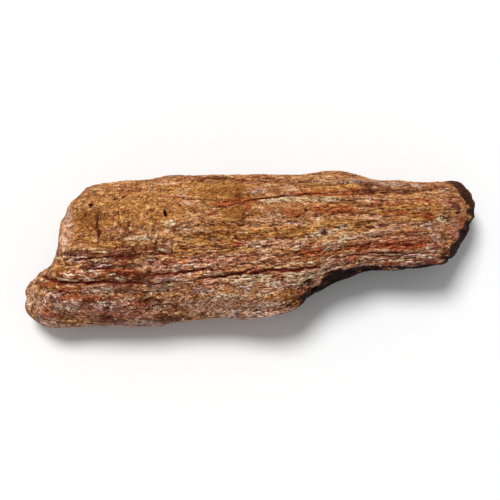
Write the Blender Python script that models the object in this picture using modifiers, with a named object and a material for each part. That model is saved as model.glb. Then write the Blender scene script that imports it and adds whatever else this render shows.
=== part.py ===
"""A dinosaur claw fossil: one worn, splintery fragment of mineralised bone, lying on its flattest side.

The grain runs along X, the broad weathered face looks up, and the claw rests on a worn flat at Z = 0.
Cross-sections lofted between an outline and three height curves give a smooth core. An even skin is grown
over it and carved: ledges between the splinters, fissures along the grain, pits, and chipped ends.
"""

import math
from typing import NamedTuple

import bmesh
import bpy
import numpy as np
from mathutils import Vector, noise

MM = 0.001

# The outline seen from above, as (along, across) points in millimetres, from the left tip to the right tip.
LEFT_TIP = (-45.0, -9.0)
RIGHT_TIP = (46.3, 9.6)
FRONT_EDGE = (
    LEFT_TIP,
    (-44.4, -12.0),
    (-42.4, -13.8),
    (-38.5, -14.5),
    (-32.0, -14.6),
    (-22.0, -14.7),
    (-14.0, -13.6),
    (-6.0, -13.3),
    (3.4, -14.0),
    (8.4, -13.0),
    (12.0, -9.6),
    (16.0, -5.9),
    (20.0, -4.6),
    (25.0, -3.6),
    (34.0, -4.3),
    (39.2, -4.2),
    (41.2, -1.2),
    (43.8, 4.0),
    (45.4, 7.2),
    RIGHT_TIP,
)
BACK_EDGE = (
    LEFT_TIP,
    (-44.4, -6.0),
    (-42.6, -4.7),
    (-40.0, -3.0),
    (-38.7, -1.2),
    (-38.0, 2.0),
    (-37.5, 5.6),
    (-36.4, 8.8),
    (-33.4, 12.0),
    (-30.0, 13.2),
    (-20.5, 14.5),
    (-15.5, 15.6),
    (0.0, 15.6),
    (10.0, 15.1),
    (18.0, 15.6),
    (26.0, 14.0),
    (34.0, 14.3),
    (41.0, 14.5),
    (43.9, 13.8),
    (45.6, 12.0),
    RIGHT_TIP,
)

# Heights along the claw, as (along, height) points in millimetres: the crest, the widest line, the underside.
CREST = (
    (-45.0, 8.0),
    (-41.0, 11.0),
    (-34.0, 14.0),
    (-20.0, 16.0),
    (-4.0, 16.6),
    (14.0, 15.8),
    (30.0, 14.2),
    (45.0, 11.5),
)
RIM = ((-45.0, 5.6), (-30.0, 5.8), (0.0, 6.6), (18.0, 7.6), (32.0, 6.8), (45.0, 6.2))
UNDERSIDE = ((-45.0, 3.4), (-38.0, 1.0), (-26.0, 0.2), (0.0, 0.1), (32.0, 0.0), (41.0, 1.0), (45.0, 3.0))

# The middle of the outline's box, once the ends are chipped. All the forms below are placed from there.
OUTLINE_MIDDLE = (0.5, 0.3)

# A tip closes over this length, as a quarter of an ellipse.
LEFT_ROUNDING = 7.0
RIGHT_ROUNDING = 3.0

# A section is squarer above and below the widest line than an ellipse, whose power is 2.
TOP_SQUARENESS = 2.9
UNDER_SQUARENESS = 2.8

# The lofted core, the skin grown over it, and the triangles kept once it is carved.
STATION_STEP = 0.4
STATION_POINTS = 72
SKIN_GRAIN = 0.55
TRIANGLES_KEPT = 8800

# The grain bends with the main fissure, and straightens with the distance from it.
GRAIN_LINE = (
    (-45.0, -5.6),
    (-40.0, -6.8),
    (-35.0, -7.8),
    (-22.0, -8.0),
    (-14.0, -6.8),
    (0.0, -5.8),
    (12.0, -5.0),
    (18.0, -2.8),
    (30.0, -2.0),
    (45.0, -1.2),
)
GRAIN_MIDDLE = -5.5
GRAIN_REACH = 10.0

# The lower splinter lies this much deeper than the upper one, over a slope this wide and along this stretch.
LEDGE_DROP = 0.9
LEDGE_SLOPE = 1.6
LEDGE_START = (-44.0, -38.0)
LEDGE_END = (8.0, 18.0)

# Shingles: ledges along the grain, this far apart and this high, which lean with height and wander.
SHINGLE_PITCH = 3.6
SHINGLE_HEIGHT = 0.45
SHINGLE_LEAN = 0.4
SHINGLE_WANDER = 0.8
SHINGLE_BREAK = 0.2

# A flank's ledge is this wide, and the part of a normal along Y that makes its surface a flank.
FLANK_SLOPE = 0.8
FACES_ASIDE = (0.3, 0.7)

# The marrow trough of the underside: its line, half-width and depth, and where it fades in and out.
TROUGH_MIDDLE = 3.0
TROUGH_SLANT = 0.05
TROUGH_WIDTH = 3.2
TROUGH_DEPTH = 1.1
TROUGH_START = (-26.0, -14.0)
TROUGH_END = (24.0, 36.0)

# The way a surface must face, by its normal's upward part, to carry the upper forms or the lower ones.
FACES_UP = (0.05, 0.45)
FACES_DOWN = (0.3, 0.8)


class Relief(NamedTuple):
    """Noise that stands out of the surface: its height and its size along X, Y and Z in millimetres."""

    height: float
    sizes: tuple
    seed: float


LUMPS = Relief(0.55, (15.0, 8.0, 8.0), 3.1)
RIDGES = Relief(0.55, (18.0, 2.6, 2.8), 11.7)
STRANDS = Relief(0.30, (11.0, 1.3, 1.4), 23.9)
DRIFT = Relief(1.0, (22.0, 7.0, 7.0), 41.3)
BREAKAGE = Relief(0.35, (2.6, 2.6, 2.6), 57.1)


class Groove(NamedTuple):
    """A fissure in the upper face: its (along, across) points, half-width and depth in millimetres."""

    path: tuple
    width: float
    depth: float


class Ledge(NamedTuple):
    """A step in a flank, under which a splinter is missing: 1 for the back flank or -1 for the front one,
    the step's (along, height) points, and how much deeper the flank lies below it in millimetres.
    """

    side: int
    path: tuple
    depth: float


class Pit(NamedTuple):
    """A hollow in the upper face: where it is, its radius and its depth in millimetres."""

    along: float
    across: float
    radius: float
    depth: float


class Spot(NamedTuple):
    """A high spot of the underside, worn flat: where it is, its radius and its height in millimetres."""

    along: float
    across: float
    radius: float
    height: float


class Chip(NamedTuple):
    """A broken facet: a point of its plane and the way it faces."""

    point: tuple
    facing: tuple


MAIN_FISSURE = (
    (-42.5, -5.2),
    (-41.3, -5.8),
    (-39.0, -6.9),
    (-36.0, -7.7),
    (-30.0, -7.8),
    (-20.6, -8.1),
)
TOP_FISSURE = (
    (-8.0, 6.7),
    (-4.8, 6.7),
    (-2.0, 7.6),
    (-0.3, 8.2),
    (4.8, 8.8),
    (7.4, 9.3),
    (18.0, 10.1),
    (23.5, 10.6),
)
GROOVES = (
    Groove(MAIN_FISSURE, 0.6, 1.2),
    Groove(((-20.6, -6.8), (-16.0, -6.3), (-11.4, -5.8), (-7.5, -5.3)), 0.5, 0.7),
    Groove(((-10.2, -7.3), (-5.4, -6.7), (-2.1, -6.3), (-0.3, -5.6)), 0.5, 0.8),
    Groove(((2.0, -6.0), (3.6, -5.6), (8.7, -5.5), (11.4, -5.1), (14.0, -4.8)), 0.6, 1.0),
    Groove(((17.0, -2.9), (21.0, -2.1), (28.5, -2.1), (32.2, -1.6), (38.7, -1.6)), 0.5, 0.7),
    Groove(((-35.2, -3.6), (-32.5, -3.2), (-26.7, -3.0), (-14.0, -2.4)), 0.45, 0.4),
    Groove(((-33.6, -4.8), (-30.7, -5.4), (-24.0, -5.0)), 0.45, 0.4),
    Groove(((-14.8, 9.0), (-12.6, 8.6), (-8.6, 8.3)), 0.5, 0.3),
    Groove(TOP_FISSURE, 0.7, 0.7),
)
LEDGES = (
    Ledge(1, ((-31.0, 8.2), (-18.0, 7.8), (-4.0, 8.4), (4.0, 7.6)), 0.9),
    Ledge(1, ((-20.0, 3.4), (-6.0, 4.0), (12.0, 3.6), (22.0, 4.4)), 0.8),
    Ledge(1, ((10.0, 7.4), (20.0, 8.2), (30.0, 7.6), (40.0, 6.8)), 0.8),
    Ledge(-1, ((-40.0, 4.2), (-26.0, 4.8), (-14.0, 4.4), (-4.0, 4.8)), 0.9),
    Ledge(-1, ((-10.0, 2.4), (0.0, 3.0), (7.0, 2.6)), 0.7),
    Ledge(-1, ((19.0, 3.8), (28.0, 4.6), (38.0, 4.2)), 0.7),
)
PITS = (
    Pit(-32.0, 8.1, 0.7, 0.4),
    Pit(-27.2, 9.2, 0.8, 0.4),
    Pit(-30.4, 2.5, 0.8, 0.4),
    Pit(-16.9, 5.5, 0.6, 0.9),
    Pit(4.6, 2.4, 0.8, 0.3),
    Pit(10.7, 6.2, 0.8, 0.5),
    Pit(14.4, 1.7, 0.9, 0.4),
    Pit(12.7, -8.8, 1.2, 1.0),
    Pit(39.0, 5.6, 1.2, 0.4),
)
WORN_SPOTS = (
    Spot(-24.0, 7.0, 7.0, 0.7),
    Spot(-20.0, -7.5, 7.0, 0.5),
    Spot(4.0, 8.0, 6.0, 0.4),
    Spot(33.0, 5.0, 6.0, 0.3),
)
CHIPS = (
    Chip((-37.3, 9.1, 11.0), (-0.60, 0.40, 0.69)),
    Chip((-43.7, -8.3, 8.8), (-0.66, 0.06, 0.75)),
    Chip((42.1, 11.9, 10.6), (0.72, 0.40, 0.57)),
    Chip((41.9, 2.3, 9.0), (0.83, -0.45, 0.33)),
    Chip((17.5, -5.5, 4.0), (0.25, -0.80, -0.55)),
)


def smooth_through(points, at):
    """A curve through (position, value) points that never overshoots them, read at the positions in at."""
    knots = np.array([point[0] for point in points])
    values = np.array([point[1] for point in points])
    gaps = np.diff(knots)
    slopes = np.diff(values) / gaps
    tangents = np.concatenate([slopes[:1], np.zeros(len(slopes) - 1), slopes[-1:]])
    for i in range(1, len(slopes)):
        if slopes[i - 1] * slopes[i] > 0:
            tangents[i] = 2 / (1 / slopes[i - 1] + 1 / slopes[i])
    at = np.clip(at, knots[0], knots[-1])
    span = np.clip(np.searchsorted(knots, at) - 1, 0, len(gaps) - 1)
    t = (at - knots[span]) / gaps[span]
    return (
        values[span] * (1 + 2 * t) * (1 - t) ** 2
        + gaps[span] * tangents[span] * t * (1 - t) ** 2
        + values[span + 1] * t**2 * (3 - 2 * t)
        - gaps[span] * tangents[span + 1] * t**2 * (1 - t)
    )


def ramp(value, low, high):
    """0 below low, 1 above high, and smooth between them."""
    t = np.clip((value - low) / (high - low), 0, 1)
    return t * t * (3 - 2 * t)


def power(value, exponent):
    """A power that keeps the sign."""
    return math.copysign(abs(value) ** exponent, value)


def noise_at(points, relief):
    """The relief's noise at each point, from minus its height to its height."""
    scaled = points / np.array(relief.sizes) + relief.seed
    return relief.height * np.array([noise.noise(Vector(place)) for place in scaled])


def section(along):
    """The points of the cross-section there, in millimetres, once round from the back edge over the crest."""
    front = float(smooth_through(FRONT_EDGE, along))
    back = float(smooth_through(BACK_EDGE, along))
    rim = float(smooth_through(RIM, along))
    to_tip = min((along - LEFT_TIP[0]) / LEFT_ROUNDING, (RIGHT_TIP[0] - along) / RIGHT_ROUNDING, 1)
    closing = math.sqrt(1 - (1 - to_tip) ** 2)
    rise = (float(smooth_through(CREST, along)) - rim) * closing
    fall = (rim - float(smooth_through(UNDERSIDE, along))) * closing
    middle = (front + back) / 2
    half_width = (back - front) / 2
    points = []
    for step in range(STATION_POINTS):
        turn = 2 * math.pi * step / STATION_POINTS
        squareness = TOP_SQUARENESS if step < STATION_POINTS / 2 else UNDER_SQUARENESS
        across = middle + half_width * power(math.cos(turn), 2 / squareness)
        height = rim + (rise if step < STATION_POINTS / 2 else fall) * power(math.sin(turn), 2 / squareness)
        points.append((along - OUTLINE_MIDDLE[0], across - OUTLINE_MIDDLE[1], height))
    return points


def make_core():
    """Lofts the sections into a closed mesh, in millimetres."""
    length = RIGHT_TIP[0] - LEFT_TIP[0]
    count = round(length / STATION_STEP)
    mesh = bmesh.new()
    rings = []
    for i in range(count):
        along = LEFT_TIP[0] + length * (i + 0.5) / count
        rings.append([mesh.verts.new(point) for point in section(along)])
    for ring, following in zip(rings, rings[1:]):
        for i in range(STATION_POINTS):
            j = (i + 1) % STATION_POINTS
            mesh.faces.new((ring[i], ring[j], following[j], following[i]))
    mesh.faces.new(reversed(rings[0]))
    mesh.faces.new(rings[-1])
    bmesh.ops.recalc_face_normals(mesh, faces=mesh.faces)
    core = bpy.data.meshes.new("core")
    mesh.to_mesh(core)
    mesh.free()
    return core


def with_modifier(name, mesh, kind, **settings):
    """A new mesh: the given one after one modifier."""
    carrier = bpy.data.objects.new(name, mesh)
    bpy.context.scene.collection.objects.link(carrier)
    modifier = carrier.modifiers.new(name, kind)
    for setting, value in settings.items():
        setattr(modifier, setting, value)
    changed = bpy.data.meshes.new_from_object(carrier.evaluated_get(bpy.context.evaluated_depsgraph_get()))
    bpy.data.objects.remove(carrier)
    return changed


def grain_across(points):
    """How far across the grain each point lies. The bent fissure counts as straight."""
    bend = smooth_through(GRAIN_LINE, points[:, 0]) - GRAIN_MIDDLE
    return points[:, 1] - bend * np.exp(-(((points[:, 1] - GRAIN_MIDDLE) / GRAIN_REACH) ** 2))


def splinter_relief(points):
    """Ridges and shingled ledges that follow the grain, on every side, in millimetres outwards."""
    grained = np.column_stack([points[:, 0], grain_across(points), points[:, 2]])
    drift = noise_at(grained, DRIFT)
    turns = (grained[:, 1] + SHINGLE_LEAN * grained[:, 2]) / SHINGLE_PITCH + SHINGLE_WANDER * drift
    rise = turns - np.floor(turns)
    shingles = SHINGLE_HEIGHT * rise * ramp(1 - rise, 0, SHINGLE_BREAK) * ramp(drift, -0.5, 0.3)
    return noise_at(points, LUMPS) + noise_at(grained, RIDGES) + noise_at(grained, STRANDS) + shingles


def upper_relief(points):
    """The named forms of the upper face, in millimetres outwards."""
    along, across = points[:, 0], points[:, 1]
    fissure = smooth_through(GRAIN_LINE, along)
    reach = ramp(along, *LEDGE_START) * (1 - ramp(along, *LEDGE_END))
    relief = -LEDGE_DROP * ramp(fissure - across, 0, LEDGE_SLOPE) * reach
    for groove in GROOVES:
        start, end = groove.path[0][0], groove.path[-1][0]
        taper = ramp(along, start - 1, start + 1.5) * (1 - ramp(along, end - 1.5, end + 1))
        aside = across - smooth_through(groove.path, along)
        relief -= groove.depth * taper * np.exp(-((aside / groove.width) ** 2))
    for pit in PITS:
        distance = np.hypot(along - pit.along, across - pit.across)
        relief -= pit.depth * np.exp(-((distance / pit.radius) ** 2))
    return relief


def flank_relief(points, normals):
    """The ledges along the flanks, in millimetres outwards."""
    along, height = points[:, 0], points[:, 2]
    ragged = noise_at(points, BREAKAGE)
    relief = np.zeros(len(points))
    for ledge in LEDGES:
        start, end = ledge.path[0][0], ledge.path[-1][0]
        taper = ramp(along, start - 1, start + 2) * (1 - ramp(along, end - 2, end + 1))
        below = smooth_through(ledge.path, along) - height + ragged
        facing = ramp(ledge.side * normals[:, 1], *FACES_ASIDE)
        relief -= ledge.depth * taper * facing * ramp(below, 0, FLANK_SLOPE)
    return relief


def under_relief(points):
    """A marrow trough along the underside, and the high spots that wear flat, in millimetres outwards."""
    along, across = points[:, 0], points[:, 1]
    aside = across - TROUGH_MIDDLE - TROUGH_SLANT * along
    trough = np.exp(-((aside / TROUGH_WIDTH) ** 2))
    relief = -TROUGH_DEPTH * trough * ramp(along, *TROUGH_START) * (1 - ramp(along, *TROUGH_END))
    for spot in WORN_SPOTS:
        distance = np.hypot(along - spot.along, across - spot.across)
        relief += spot.height * np.exp(-((distance / spot.radius) ** 2))
    return relief


def chipped(points):
    """The points, with those beyond a chip's plane brought back to it, a little rough."""
    for chip in CHIPS:
        facing = np.array(chip.facing) / np.linalg.norm(chip.facing)
        beyond = (points - np.array(chip.point)) @ facing
        points = points - np.outer(np.maximum(beyond - noise_at(points, BREAKAGE), 0), facing)
    return points


def carve(skin):
    """Moves the skin's vertices to the broken and weathered surface."""
    count = len(skin.vertices)
    points = np.empty(count * 3)
    skin.vertices.foreach_get("co", points)
    points = chipped(points.reshape(-1, 3))
    skin.vertices.foreach_set("co", points.ravel())
    skin.update()
    normals = np.empty(count * 3)
    skin.vertices.foreach_get("normal", normals)
    normals = normals.reshape(-1, 3)
    relief = splinter_relief(points) + flank_relief(points, normals)
    relief += upper_relief(points) * ramp(normals[:, 2], *FACES_UP)
    relief += under_relief(points) * ramp(-normals[:, 2], *FACES_DOWN)
    skin.vertices.foreach_set("co", (points + normals * relief[:, None]).ravel())
    skin.update()


def rest_flat(mesh):
    """Cuts the mesh off flat at Z = 0, the worn face that the claw lies on."""
    claw = bmesh.new()
    claw.from_mesh(mesh)
    everything = claw.verts[:] + claw.edges[:] + claw.faces[:]
    cut = bmesh.ops.bisect_plane(claw, geom=everything, plane_no=(0, 0, -1), clear_outer=True)
    edges = [item for item in cut["geom_cut"] if isinstance(item, bmesh.types.BMEdge)]
    bmesh.ops.holes_fill(claw, edges=edges)
    bmesh.ops.triangulate(claw, faces=claw.faces)
    bmesh.ops.recalc_face_normals(claw, faces=claw.faces)
    claw.to_mesh(mesh)
    claw.free()


def fossil_material():
    """Iron-stained bone: tan to rust, and dull."""
    material = bpy.data.materials.new("iron_stained_bone")
    material.use_nodes = True
    shader = material.node_tree.nodes["Principled BSDF"]
    shader.inputs["Base Color"].default_value = (0.36, 0.19, 0.09, 1)
    shader.inputs["Roughness"].default_value = 0.8
    shader.inputs["Metallic"].default_value = 0
    return material


def centred(mesh):
    """Shifts the mesh so that its length and width are centred on the origin, and scales it to metres."""
    points = np.empty(len(mesh.vertices) * 3)
    mesh.vertices.foreach_get("co", points)
    points = points.reshape(-1, 3)
    middle = (points.min(axis=0) + points.max(axis=0)) / 2
    middle[2] = 0
    mesh.vertices.foreach_set("co", ((points - middle) * MM).ravel())
    mesh.update()


def main():
    for obj in list(bpy.data.objects):
        bpy.data.objects.remove(obj)
    skin = with_modifier("skin", make_core(), "REMESH", mode="VOXEL", voxel_size=SKIN_GRAIN)
    carve(skin)
    ratio = TRIANGLES_KEPT / (2 * len(skin.polygons))
    mesh = with_modifier("thinned", skin, "DECIMATE", ratio=ratio, use_collapse_triangulate=True)
    rest_flat(mesh)
    centred(mesh)
    mesh.shade_smooth()
    mesh.materials.append(fossil_material())
    claw = bpy.data.objects.new("fossil_claw", mesh)
    collection = bpy.data.collections.new("dinosaur_claw_fossil")
    bpy.context.scene.collection.children.link(collection)
    collection.objects.link(claw)


main()
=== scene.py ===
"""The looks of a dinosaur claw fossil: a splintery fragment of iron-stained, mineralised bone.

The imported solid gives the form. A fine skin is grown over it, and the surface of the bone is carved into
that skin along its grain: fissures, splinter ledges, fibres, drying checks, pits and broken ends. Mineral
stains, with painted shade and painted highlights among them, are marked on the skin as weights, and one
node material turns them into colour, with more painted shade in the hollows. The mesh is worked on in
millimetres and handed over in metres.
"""

import logging
import math
from dataclasses import dataclass, field, replace
from enum import Enum

import bmesh
import bpy
import numpy as np
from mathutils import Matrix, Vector, noise


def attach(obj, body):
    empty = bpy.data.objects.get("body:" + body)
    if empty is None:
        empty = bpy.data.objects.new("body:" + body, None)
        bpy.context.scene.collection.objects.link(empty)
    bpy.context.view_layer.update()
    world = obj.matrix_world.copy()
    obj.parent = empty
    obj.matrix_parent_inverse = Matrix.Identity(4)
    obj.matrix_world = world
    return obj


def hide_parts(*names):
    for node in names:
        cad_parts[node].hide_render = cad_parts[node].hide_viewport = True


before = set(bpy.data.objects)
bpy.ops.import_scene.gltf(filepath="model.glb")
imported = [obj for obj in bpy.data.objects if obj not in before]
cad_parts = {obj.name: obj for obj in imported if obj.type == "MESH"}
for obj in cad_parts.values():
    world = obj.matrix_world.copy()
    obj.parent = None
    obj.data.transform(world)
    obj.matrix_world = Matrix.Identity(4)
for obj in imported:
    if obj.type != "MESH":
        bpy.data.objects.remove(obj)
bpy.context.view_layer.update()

log = logging.getLogger("fossil")

MM = 0.001
BODY = "root"
NODE = "fossil_claw"

Point = tuple[float, float]
# The values between which something fades in: it is absent at the first and full at the second.
Range = tuple[float, float]
Triple = tuple[float, float, float]
Colour = tuple[int, int, int]
Socket = bpy.types.NodeSocket


class Mineral(Enum):
    """What has stained the bone, plus painted shade on two steep walls and painted highlights on ledge lips.
    The value is the name of its weight on the skin.
    """

    OCHRE = "stain_ochre"
    BRONZE = "stain_bronze"
    RUST = "stain_rust"
    ROSE = "stain_rose"
    # Also carries painted highlights on some ledge lips above the fissures.
    PEACH = "stain_peach_and_highlight"
    CREAM = "stain_cream"
    LILAC = "stain_lilac"
    UMBER = "stain_umber"
    MAROON = "stain_maroon"
    # Also carries the painted shade of the notch wall and the broken tip.
    MANGANESE_AND_SHADE = "stain_manganese_and_shade"


DARK_MINERALS = (Mineral.UMBER, Mineral.MAROON, Mineral.MANGANESE_AND_SHADE)


class Mark(Enum):
    """What else the skin tells its finish. The value is the name of the weight or vector on the skin."""

    GRAIN = "grain_mm"
    CRUMBLY = "crumbly"
    RUGGED = "rugged"
    CRACK = "crack"
    CRACK_SIDE = "crack_side"
    # Also the mask of painted shade in the hollows and painted highlights on the crests.
    FINE_HOLLOW = "hollow_fine"
    BROAD_HOLLOW = "hollow_broad"


def ramp(value: np.ndarray, low: float, high: float) -> np.ndarray:
    """0 at low, 1 at high, and smooth between them; low may be the larger."""
    t = np.clip((value - low) / (high - low), 0, 1)
    return t * t * (3 - 2 * t)


def curve_through(points: tuple[Point, ...], at: np.ndarray) -> np.ndarray:
    """A smooth curve that never overshoots its points.

    Args:
        points: (position, value) pairs, with rising positions.
        at: the positions to read the curve at.

    Returns:
        The curve's value at each position, held level past the ends.
    """
    knots = np.array([point[0] for point in points])
    values = np.array([point[1] for point in points])
    gaps = np.diff(knots)
    slopes = np.diff(values) / gaps
    tangents = np.concatenate([slopes[:1], np.zeros(len(slopes) - 1), slopes[-1:]])
    for i in range(1, len(slopes)):
        if slopes[i - 1] * slopes[i] > 0:
            tangents[i] = 2 / (1 / slopes[i - 1] + 1 / slopes[i])
    at = np.clip(at, knots[0], knots[-1])
    span = np.clip(np.searchsorted(knots, at) - 1, 0, len(gaps) - 1)
    t = (at - knots[span]) / gaps[span]
    return (
        values[span] * (1 + 2 * t) * (1 - t) ** 2
        + gaps[span] * tangents[span] * t * (1 - t) ** 2
        + values[span + 1] * t**2 * (3 - 2 * t)
        - gaps[span] * tangents[span + 1] * t**2 * (1 - t)
    )


def modified(mesh: bpy.types.Mesh, *steps: tuple[str, dict[str, object]]) -> bpy.types.Mesh:
    """The mesh after a row of modifiers.

    Args:
        mesh: the mesh to start from.
        steps: the type of each modifier, with its settings.

    Returns:
        A new mesh.
    """
    carrier = bpy.data.objects.new("carrier", mesh)
    bpy.context.scene.collection.objects.link(carrier)
    for kind, settings in steps:
        modifier = carrier.modifiers.new(kind.lower(), kind)
        for name, value in settings.items():
            setattr(modifier, name, value)
    evaluated = carrier.evaluated_get(bpy.context.evaluated_depsgraph_get())
    result = bpy.data.meshes.new_from_object(evaluated)
    bpy.data.objects.remove(carrier)
    return result


@dataclass(frozen=True)
class Texture:
    """Noise with a size of its own along the grain, across it and in depth, and a height or strength.

    The falloff and step set its finer octaves. The slope, crest and gap are the profile of its strands.
    """

    sizes: Triple
    seed: float
    octaves: int = 1
    height: float = 1.0
    falloff: float = 0.9
    step: float = 2.1
    crest_slope: float = 2.4
    crest: float = 1.2
    gap: float = 0.5

    def plain(self, places: np.ndarray) -> np.ndarray:
        """The noise at each place, in millimetres, from about -1 to 1.

        Args:
            places: one row of three coordinates for each place.

        Returns:
            One value for each place.
        """
        scaled = places / np.array(self.sizes) + self.seed
        if self.octaves == 1:
            return np.array([noise.noise(Vector(place)) for place in scaled])
        rows = [noise.fractal(Vector(place), self.falloff, self.step, self.octaves) for place in scaled]
        return np.array(rows)

    def at(self, places: np.ndarray) -> np.ndarray:
        """The noise at each place, up to about its height above and below zero."""
        return self.height * self.plain(places)

    def strands(self, places: np.ndarray) -> np.ndarray:
        """Rounded strands, with narrow gaps that reach half the height below zero."""
        crests = np.minimum(np.abs(self.plain(places)) * self.crest_slope, self.crest)
        return self.height * (crests - self.gap)

    def lines(self, places: np.ndarray, width: float) -> np.ndarray:
        """Thin lines where the noise passes through zero.

        Args:
            places: one row of three coordinates for each place.
            width: how far from zero a line reaches.

        Returns:
            The height on a line, falling to 0 at its edges.
        """
        return self.height * ramp(np.abs(self.plain(places)), width, 0)


@dataclass(frozen=True)
class GrainLine:
    """One fibre's path along the claw, and the number that every place on it has across the grain."""

    across: float
    path: tuple[Point, ...]


@dataclass(frozen=True)
class Grain:
    """The way the bone's fibres run: four lines, from the lower edge to the upper one."""

    lines: tuple[GrainLine, ...] = (
        GrainLine(
            -14.0,
            ((-45, -12.5), (-38, -14.4), (-20, -15), (-5, -14.2), (5, -13.4), (20, -9.6), (45, -8.2)),
        ),
        GrainLine(
            -6.0,
            (
                (-45, -5.6), (-40, -6.8), (-35, -7.8), (-22, -8), (-14, -6.8),
                (0, -5.8), (12, -5), (18, -2.8), (45, -1.2),
            ),
        ),
        GrainLine(
            -0.8,
            ((-45, -1), (-20, -1.4), (-8, -1.5), (0, -1.2), (8, -0.6), (20, 1.2), (31, 2.8), (45, 4.2)),
        ),
        GrainLine(6.8, ((-45, 6.2), (-20, 6.6), (0, 6.9), (20, 7.4), (45, 7.8))),
    )

    def places(self, points: np.ndarray) -> np.ndarray:
        """Each point as (along the grain, across it, height), in millimetres.

        Args:
            points: the skin's points.

        Returns:
            One row for each point.
        """
        heights = [curve_through(line.path, points[:, 0]) for line in self.lines]
        across = self.lines[0].across + points[:, 1] - heights[0]
        for lower, upper, low, high in zip(self.lines, self.lines[1:], heights, heights[1:]):
            share = (points[:, 1] - low) / (high - low)
            between = lower.across + share * (upper.across - lower.across)
            across = np.where(share > 0, between, across)
        above = self.lines[-1].across + points[:, 1] - heights[-1]
        across = np.where(points[:, 1] > heights[-1], above, across)
        return np.column_stack([points[:, 0], across, points[:, 2]])


@dataclass(frozen=True)
class Fissure:
    """A crack in the upper face that opens along the grain.

    Its path, half-width and depth are in millimetres, and so is how much of the solid's broader groove is
    filled in around it. It thins out at both ends, and a shallow one is broken up more often.
    """

    path: tuple[Point, ...]
    width: float
    depth: float
    fill: float
    fill_reach: float
    fill_shift: float = 0.12
    overrun: float = 0.8
    tip_length: float = 2.0
    tip_width: float = 0.35
    raggedness: float = 0.5
    shallow_depth: float = 0.2

    def shallow(self) -> bool:
        """Whether the crack is little more than a scratch."""
        return self.depth < self.shallow_depth

    def taper(self, points: np.ndarray) -> np.ndarray:
        """1 along the crack, falling to 0 at its two ends.

        Args:
            points: the skin's points.

        Returns:
            One value for each point.
        """
        start, end = self.path[0][0], self.path[-1][0]
        opening = ramp(points[:, 0], start - self.overrun, start + self.tip_length)
        return opening * ramp(points[:, 0], end + self.overrun, end - self.tip_length)

    def openness(self, points: np.ndarray, wander: np.ndarray, ragged: np.ndarray) -> np.ndarray:
        """How far into the crack each point lies.

        Args:
            points: the skin's points.
            wander: how far the crack strays sideways at each point, in millimetres.
            ragged: noise that widens and narrows it.

        Returns:
            1 at the bottom of the crack, falling to 0 at its lips.
        """
        taper = self.taper(points)
        aside = np.abs(points[:, 1] - curve_through(self.path, points[:, 0]) - wander)
        narrowing = self.tip_width + (1 - self.tip_width) * taper
        reach = self.width * (1 + self.raggedness * ragged) * narrowing
        return taper * np.exp(-((aside / reach) ** 2))

    def filling(self, points: np.ndarray) -> np.ndarray:
        """How much the groove is filled at each point, in millimetres."""
        aside = points[:, 1] - curve_through(self.path, points[:, 0]) - self.fill_shift
        return self.fill * self.taper(points) * np.exp(-((aside / self.fill_reach) ** 2))


@dataclass(frozen=True)
class Pit:
    """A hollow in the upper face: its place, half-length, half-width and depth, and how far it is turned."""

    along: float
    across: float
    length: float
    width: float
    depth: float
    turn: float = 0.0
    fill: float = 0.0
    fill_reach: float = 0.6
    steepness: float = 1.5

    def filling(self, points: np.ndarray) -> np.ndarray:
        """How much of the solid's rounder pit is filled in at each point, in millimetres."""
        distance = np.hypot(points[:, 0] - self.along, points[:, 1] - self.across)
        return self.fill * np.exp(-((distance / self.fill_reach) ** 2))

    def openness(self, points: np.ndarray) -> np.ndarray:
        """1 at the bottom of the pit, falling to 0 at its rim.

        Args:
            points: the skin's points.

        Returns:
            One value for each point.
        """
        turn = math.radians(self.turn)
        x, y = points[:, 0] - self.along, points[:, 1] - self.across
        lengthwise = (x * math.cos(turn) + y * math.sin(turn)) / self.length
        crosswise = (y * math.cos(turn) - x * math.sin(turn)) / self.width
        return np.exp(-((lengthwise**2 + crosswise**2) ** self.steepness))


@dataclass(frozen=True)
class Patch:
    """A patch of the upper face: its middle, half-length, half-width, strength and slant.

    It fades from its rim to its core, which are given in half-sizes from its middle.
    """

    along: float
    across: float
    length: float
    width: float
    strength: float
    slant: float = 0.0
    fraying: float = 0.45
    fade: Range = (1.5, 0.3)

    def weight(self, points: np.ndarray, edge: np.ndarray) -> np.ndarray:
        """How strong the patch is at each point.

        Args:
            points: the skin's points.
            edge: noise that frays the patch's edge.

        Returns:
            From 0 outside the patch to its strength inside.
        """
        x = points[:, 0] - self.along
        y = points[:, 1] - self.across - self.slant * x
        distance = np.sqrt((x / self.length) ** 2 + (y / self.width) ** 2) + self.fraying * edge
        return self.strength * ramp(distance, *self.fade)


@dataclass(frozen=True)
class Patches:
    """Patches that belong together. Where they overlap, the strongest counts."""

    members: tuple[Patch, ...]

    def weight(self, points: np.ndarray, edge: np.ndarray) -> np.ndarray:
        """How strong the strongest patch is at each point."""
        return np.max([patch.weight(points, edge) for patch in self.members], axis=0)


def patches(*rows: tuple[float, ...]) -> Patches:
    """Patches from rows of along, across, half-length, half-width, strength and, where it has one, slant."""
    return Patches(tuple(Patch(*row) for row in rows))


@dataclass(frozen=True)
class Stain:
    """One mineral, and where on the upper face it lies."""

    mineral: Mineral
    places: Patches


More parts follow.
